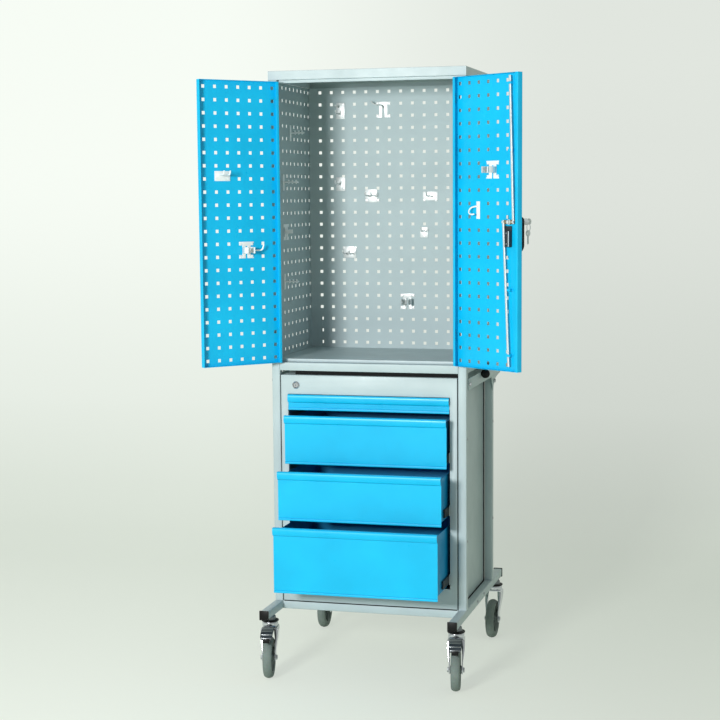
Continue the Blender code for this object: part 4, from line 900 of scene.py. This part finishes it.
# Casters: turned head, bent fork, axle, tyred wheel and, in front, a moulded brake lever
STEM_TOP_Z = 0.1817
LEG_MID = 0.0190
LEG_SHEET = 0.003
FLANGE_SHEET = 0.0016
TOE_RADIUS = 0.0130
SHOULDER = 0.0240
CROWN_Z = 0.1500
BRAKE_HALF = 0.0180
BRAKE_SHEET = 0.0050
TREAD_HALF = 0.0165
for key, heading in HEADINGS.items():
    x = CASTER_X if key[1] == "r" else -CASTER_X
    standing = CART @ Matrix.Translation((x, CASTER_YS[key[0]], 0))
    standing = standing @ Matrix.Rotation(math.radians(heading), 4, "Z")
    axle = Matrix.Translation((0, -CASTER_TRAIL, WHEEL_RADIUS)) @ Matrix.Rotation(math.pi / 2, 4, "Y")
    swivel = "caster_" + key
    head = turned(
        [(0, 0.1652), (0.0215, 0.1652), (0.0232, 0.1641), (0.0240, 0.1612), (0.0240, 0.1560),
         (0.0236, 0.1530), (0.0227, 0.1513), (0, 0.1513)], 48)
    piece("caster_head_" + key, head, chrome, swivel, standing)
    neck = turned(
        [(0, STEM_TOP_Z), (0.0156, STEM_TOP_Z), (0.0168, 0.1804), (0.0180, 0.1700), (0, 0.1700)], 48)
    piece("caster_neck_" + key, neck, dull_zinc, swivel, standing)
    collar = turned(
        [(0, 0.1704), (0.0236, 0.1704), (0.0256, 0.1695), (0.0264, 0.1677), (0.0258, 0.1658),
         (0.0244, 0.1648), (0, 0.1648)], 48)
    piece("caster_collar_" + key, collar, black_nylon, swivel, standing)
    leg = ((LEG_MID, 0.045), (LEG_MID, 0.082), (SHOULDER, 0.122), (SHOULDER, CROWN_Z))
    fork = folded_sheet(
        [(-out, -0.075, z) for out, z in leg] + [(out, -0.075, z) for out, z in reversed(leg)],
        (0, 0.110, 0), (0.060, 0.060, 0.0065, 0.0065, 0.060, 0.060))
    toe = [
        (TOE_RADIUS * math.cos(angle) - CASTER_TRAIL, TOE_RADIUS * math.sin(angle) + WHEEL_RADIUS)
        for angle in (math.radians(degrees) for degrees in range(170, 341, 17))
    ]
    trimmed(fork, toe + [(0.0215, 0.1420), (0.0215, 0.1560), (-0.0235, 0.1560)], 0)
    node = "caster_fork_" + key
    piece(node + "_sheet", fork, chrome, swivel, standing, [node], wall=LEG_SHEET)
    # Stiffening flange folded in along the front edge of each leg, widest at the crown
    outline = (
        (SHOULDER - 0.0005, -0.0240, CROWN_Z - 0.0010), (0.0140, -0.0240, CROWN_Z - 0.0010),
        (0.0150, -0.0290, 0.1340), (0.0172, -0.0335, 0.1200), (0.0180, -0.0420, 0.0920),
        (LEG_MID + 0.0012, -0.0470, 0.0760), (LEG_MID + 0.0014, -0.0455, 0.0820),
        (SHOULDER + 0.0010, -0.0325, 0.1220), (SHOULDER + 0.0010, -0.0270, 0.1400))
    flanges = [
        cut_plate([(sign * out, y, z) for out, y, z in outline], (0, -FLANGE_SHEET, 0), 0.0005)
        for sign in (-1, 1)
    ]
    piece("caster_fork_flanges_" + key, gathered(*flanges), chrome, swivel, standing)
    trim = []
    for sign in (-1, 1):
        outer = axle @ Matrix.Translation((0, 0, sign * (LEG_MID + LEG_SHEET / 2 - 0.0003)))
        if sign < 0:
            outer = outer @ Matrix.Rotation(math.pi, 4, "X")
        trim.append((bolt_head(0.013, 0.0042, 0.0090), outer))
    piece("caster_axle_" + key, gathered(*trim), zinc, swivel, standing)
    flank = [(0.0478, -0.0118), (0.0498, -0.0132), (0.0530, -0.0138), (0.0562, -0.0130), (0.0590, -0.0106),
             (0.0612, -0.0062)]
    tyre = turned(mirrored(flank, [(WHEEL_RADIUS, 0)]), 64)
    piece("caster_tyre_" + key, tyre, rubber, "wheel_" + key, standing @ axle, ["caster_wheel_" + key])
    flank = [(0.0064, -0.0170), (0.0105, -0.0170), (0.0125, -0.0158), (0.0150, -0.0070), (0.0165, -0.0045),
             (0.0380, -0.0045), (0.0415, -0.0070), (0.0440, -0.0115), (0.0480, -0.0125)]
    hub = [turned(mirrored(flank), 64)]
    for n in range(6):
        rib = rounded_block((0.0120, -0.0014, -0.0110), (0.0425, 0.0014, 0.0110), 0.0008)
        hub.append((rib, Matrix.Rotation(n * math.pi / 3, 4, "Z")))
    piece("caster_hub_" + key, gathered(*hub), hub_plastic, "wheel_" + key, standing @ axle)
    if key[0] == "r":
        continue
    profile = ((-0.028, 0.1490), (-0.062, 0.1525), (-0.092, 0.1480), (-0.1015, 0.1390), (-0.1035, 0.1300))
    lever = folded_sheet(
        [(-BRAKE_HALF, y, z) for y, z in profile], (2 * BRAKE_HALF, 0, 0), (0.030, 0.012, 0.012))
    trimmed(lever, [(-BRAKE_HALF, 0.200), (-BRAKE_HALF, 0.1390), (-0.0140, 0.1320), (0.0140, 0.1320),
                    (BRAKE_HALF, 0.1390), (BRAKE_HALF, 0.200)], 1)
    brake = "brake_" + key
    piece("brake_lever_" + key, lever, dark_nylon, brake, standing, [brake], wall=BRAKE_SHEET)
    treads = [
        rounded_block((-TREAD_HALF, y - 0.0012, z - 0.0011), (TREAD_HALF, y + 0.0012, z + 0.0011), 0.0007)
        for y, z in ((-0.042, 0.1533), (-0.051, 0.1543), (-0.060, 0.1546), (-0.070, 0.1541), (-0.080, 0.1526))
    ]
    piece("brake_treads_" + key, gathered(*treads), grey_nylon, brake, standing)
    strips = [
        rounded_block((-0.0176, -0.0992, 0.1464), (0.0176, -0.0930, 0.1478), 0.0005),
        rounded_block((-0.0150, -0.1062, 0.1372), (0.0150, -0.1015, 0.1386), 0.0005),
    ]
    piece("brake_strip_" + key, gathered(*strips), zinc, brake, standing)
    pad = rounded_block((-0.0100, -0.1085, 0.1240), (0.0100, -0.0980, 0.1364), 0.0015)
    piece("brake_pad_" + key, pad, black_nylon, brake, standing)

# Studio: a pale floor that curves up into the backdrop, a key lamp from the front left and a soft fill
def studio_paint():
    """Matt studio paint. What looks at it directly or in a shine sees it paler than the light makes it."""
    material, tree, shader, _ = finish("studio_matt_paint", "#e2ebdb", 0.0, 0.95, Specular_IOR_Level=0.1)
    metres = add(tree, "TexCoord", {}, {}).outputs["Object"]
    # Painted shade across the picture: paler to the left and darker to the right, for the key lamp's falloff
    # and the cart's soft shadow
    sideways = add(tree, "VectorMath", {"operation": "DOT_PRODUCT"}, {0: metres, 1: (0.966, 0.258, 0)})
    left = add(tree, "MapRange", {"interpolation_type": "SMOOTHSTEP"}, {
        "Value": sideways, "From Min": -0.9, "From Max": 0.9, "To Min": 1.0, "To Max": 0.80})
    # Painted shade: darkest, and greener, where the floor turns up into the wall
    rise = add(tree, "VectorMath", {"operation": "DOT_PRODUCT"}, {0: metres, 1: (0, -0.35, 1)})
    clear = add(tree, "MapRange", {"interpolation_type": "SMOOTHSTEP"}, {
        "Value": rise, "From Min": -0.7, "From Max": 0.8, "To Min": 0.84, "To Max": 1.0})
    level = add(tree, "Math", {"operation": "MULTIPLY"}, {0: left, 1: clear})
    tint = add(tree, "Mix", {"data_type": "RGBA"}, {
        "Factor": clear, "A": linear("#ebfde8"), "B": linear("#fafff8")})
    glow = add(tree, "Emission", {}, {"Color": tint, "Strength": level})
    ray = add(tree, "LightPath", {}, {}).outputs
    seen = add(tree, "Math", {"operation": "ADD"}, {0: ray["Is Camera Ray"], 1: ray["Is Glossy Ray"]})
    through = add(tree, "Math", {"operation": "ADD", "use_clamp": True}, {
        0: seen, 1: ray["Is Transmission Ray"]})
    height = add(tree, "SeparateXYZ", {}, {"Vector": metres})
    # The floor keeps more of its shadows than the wall does
    amount = add(tree, "MapRange", {}, {
        "Value": height.outputs["Z"], "From Min": 0.0, "From Max": 0.5, "To Min": 0.66, "To Max": 0.94})
    share = add(tree, "Math", {"operation": "MULTIPLY"}, {0: through, 1: amount})
    mixed = add(tree, "MixShader", {}, {0: share, 1: shader, 2: glow})
    # Seen from behind the backdrop isn't there, so that it hides nothing in a view from the rear
    behind = add(tree, "NewGeometry", {}, {}).outputs["Backfacing"]
    gone = add(tree, "BsdfTransparent", {}, {})
    seen_as = tree.nodes["Material Output"].inputs["Surface"]
    add(tree, "MixShader", {}, {0: behind, 1: mixed, 2: gone}, seen_as)
    return material


# From the front edge of the floor to the top of the wall, as Y and Z
bend = ((-9, 0), (1.1, 0), (1.5, 0.03), (1.9, 0.16), (2.2, 0.45), (2.35, 0.9), (2.4, 1.5), (2.4, 7))
sweep = drawn_sheet([(-9, y, z) for y, z in bend], (18, 0, 0))
bmesh.ops.recalc_face_normals(sweep, faces=sweep.faces)
if sum(face.normal.z for face in sweep.faces) < 0:
    bmesh.ops.reverse_faces(sweep, faces=sweep.faces)
for face in sweep.faces:
    face.smooth = True
sweep_mesh = bpy.data.meshes.new("studio_sweep")
sweep.to_mesh(sweep_mesh)
sweep.free()
sweep_mesh.materials.append(studio_paint())
studio = stand("studio_sweep", sweep_mesh)

lamp = bpy.data.lights.new("key_lamp", "AREA")
lamp.shape = "RECTANGLE"
lamp.size, lamp.size_y = 0.80, 0.60
lamp.energy = 176
LAMP_PLACE = Vector((-0.86, -4.70, 1.79))
stand("key_lamp", lamp).matrix_world = facing(*LAMP_PLACE, Vector((0, 0, 1.0)) - LAMP_PLACE, "-Z")
world = bpy.data.worlds.new("studio_world")
bpy.context.scene.world = world
world.use_nodes = True
sky = world.node_tree.nodes["Background"]
sky.inputs["Color"].default_value = linear("#f3f7f4")
sky_ray = add(world.node_tree, "LightPath", {}, {}).outputs["Is Camera Ray"]
add(world.node_tree, "MapRange", {}, {
    "Value": sky_ray, "To Min": 0.46, "To Max": 0.92}, sky.inputs["Strength"])
bpy.context.scene.view_settings.view_transform = "Standard"
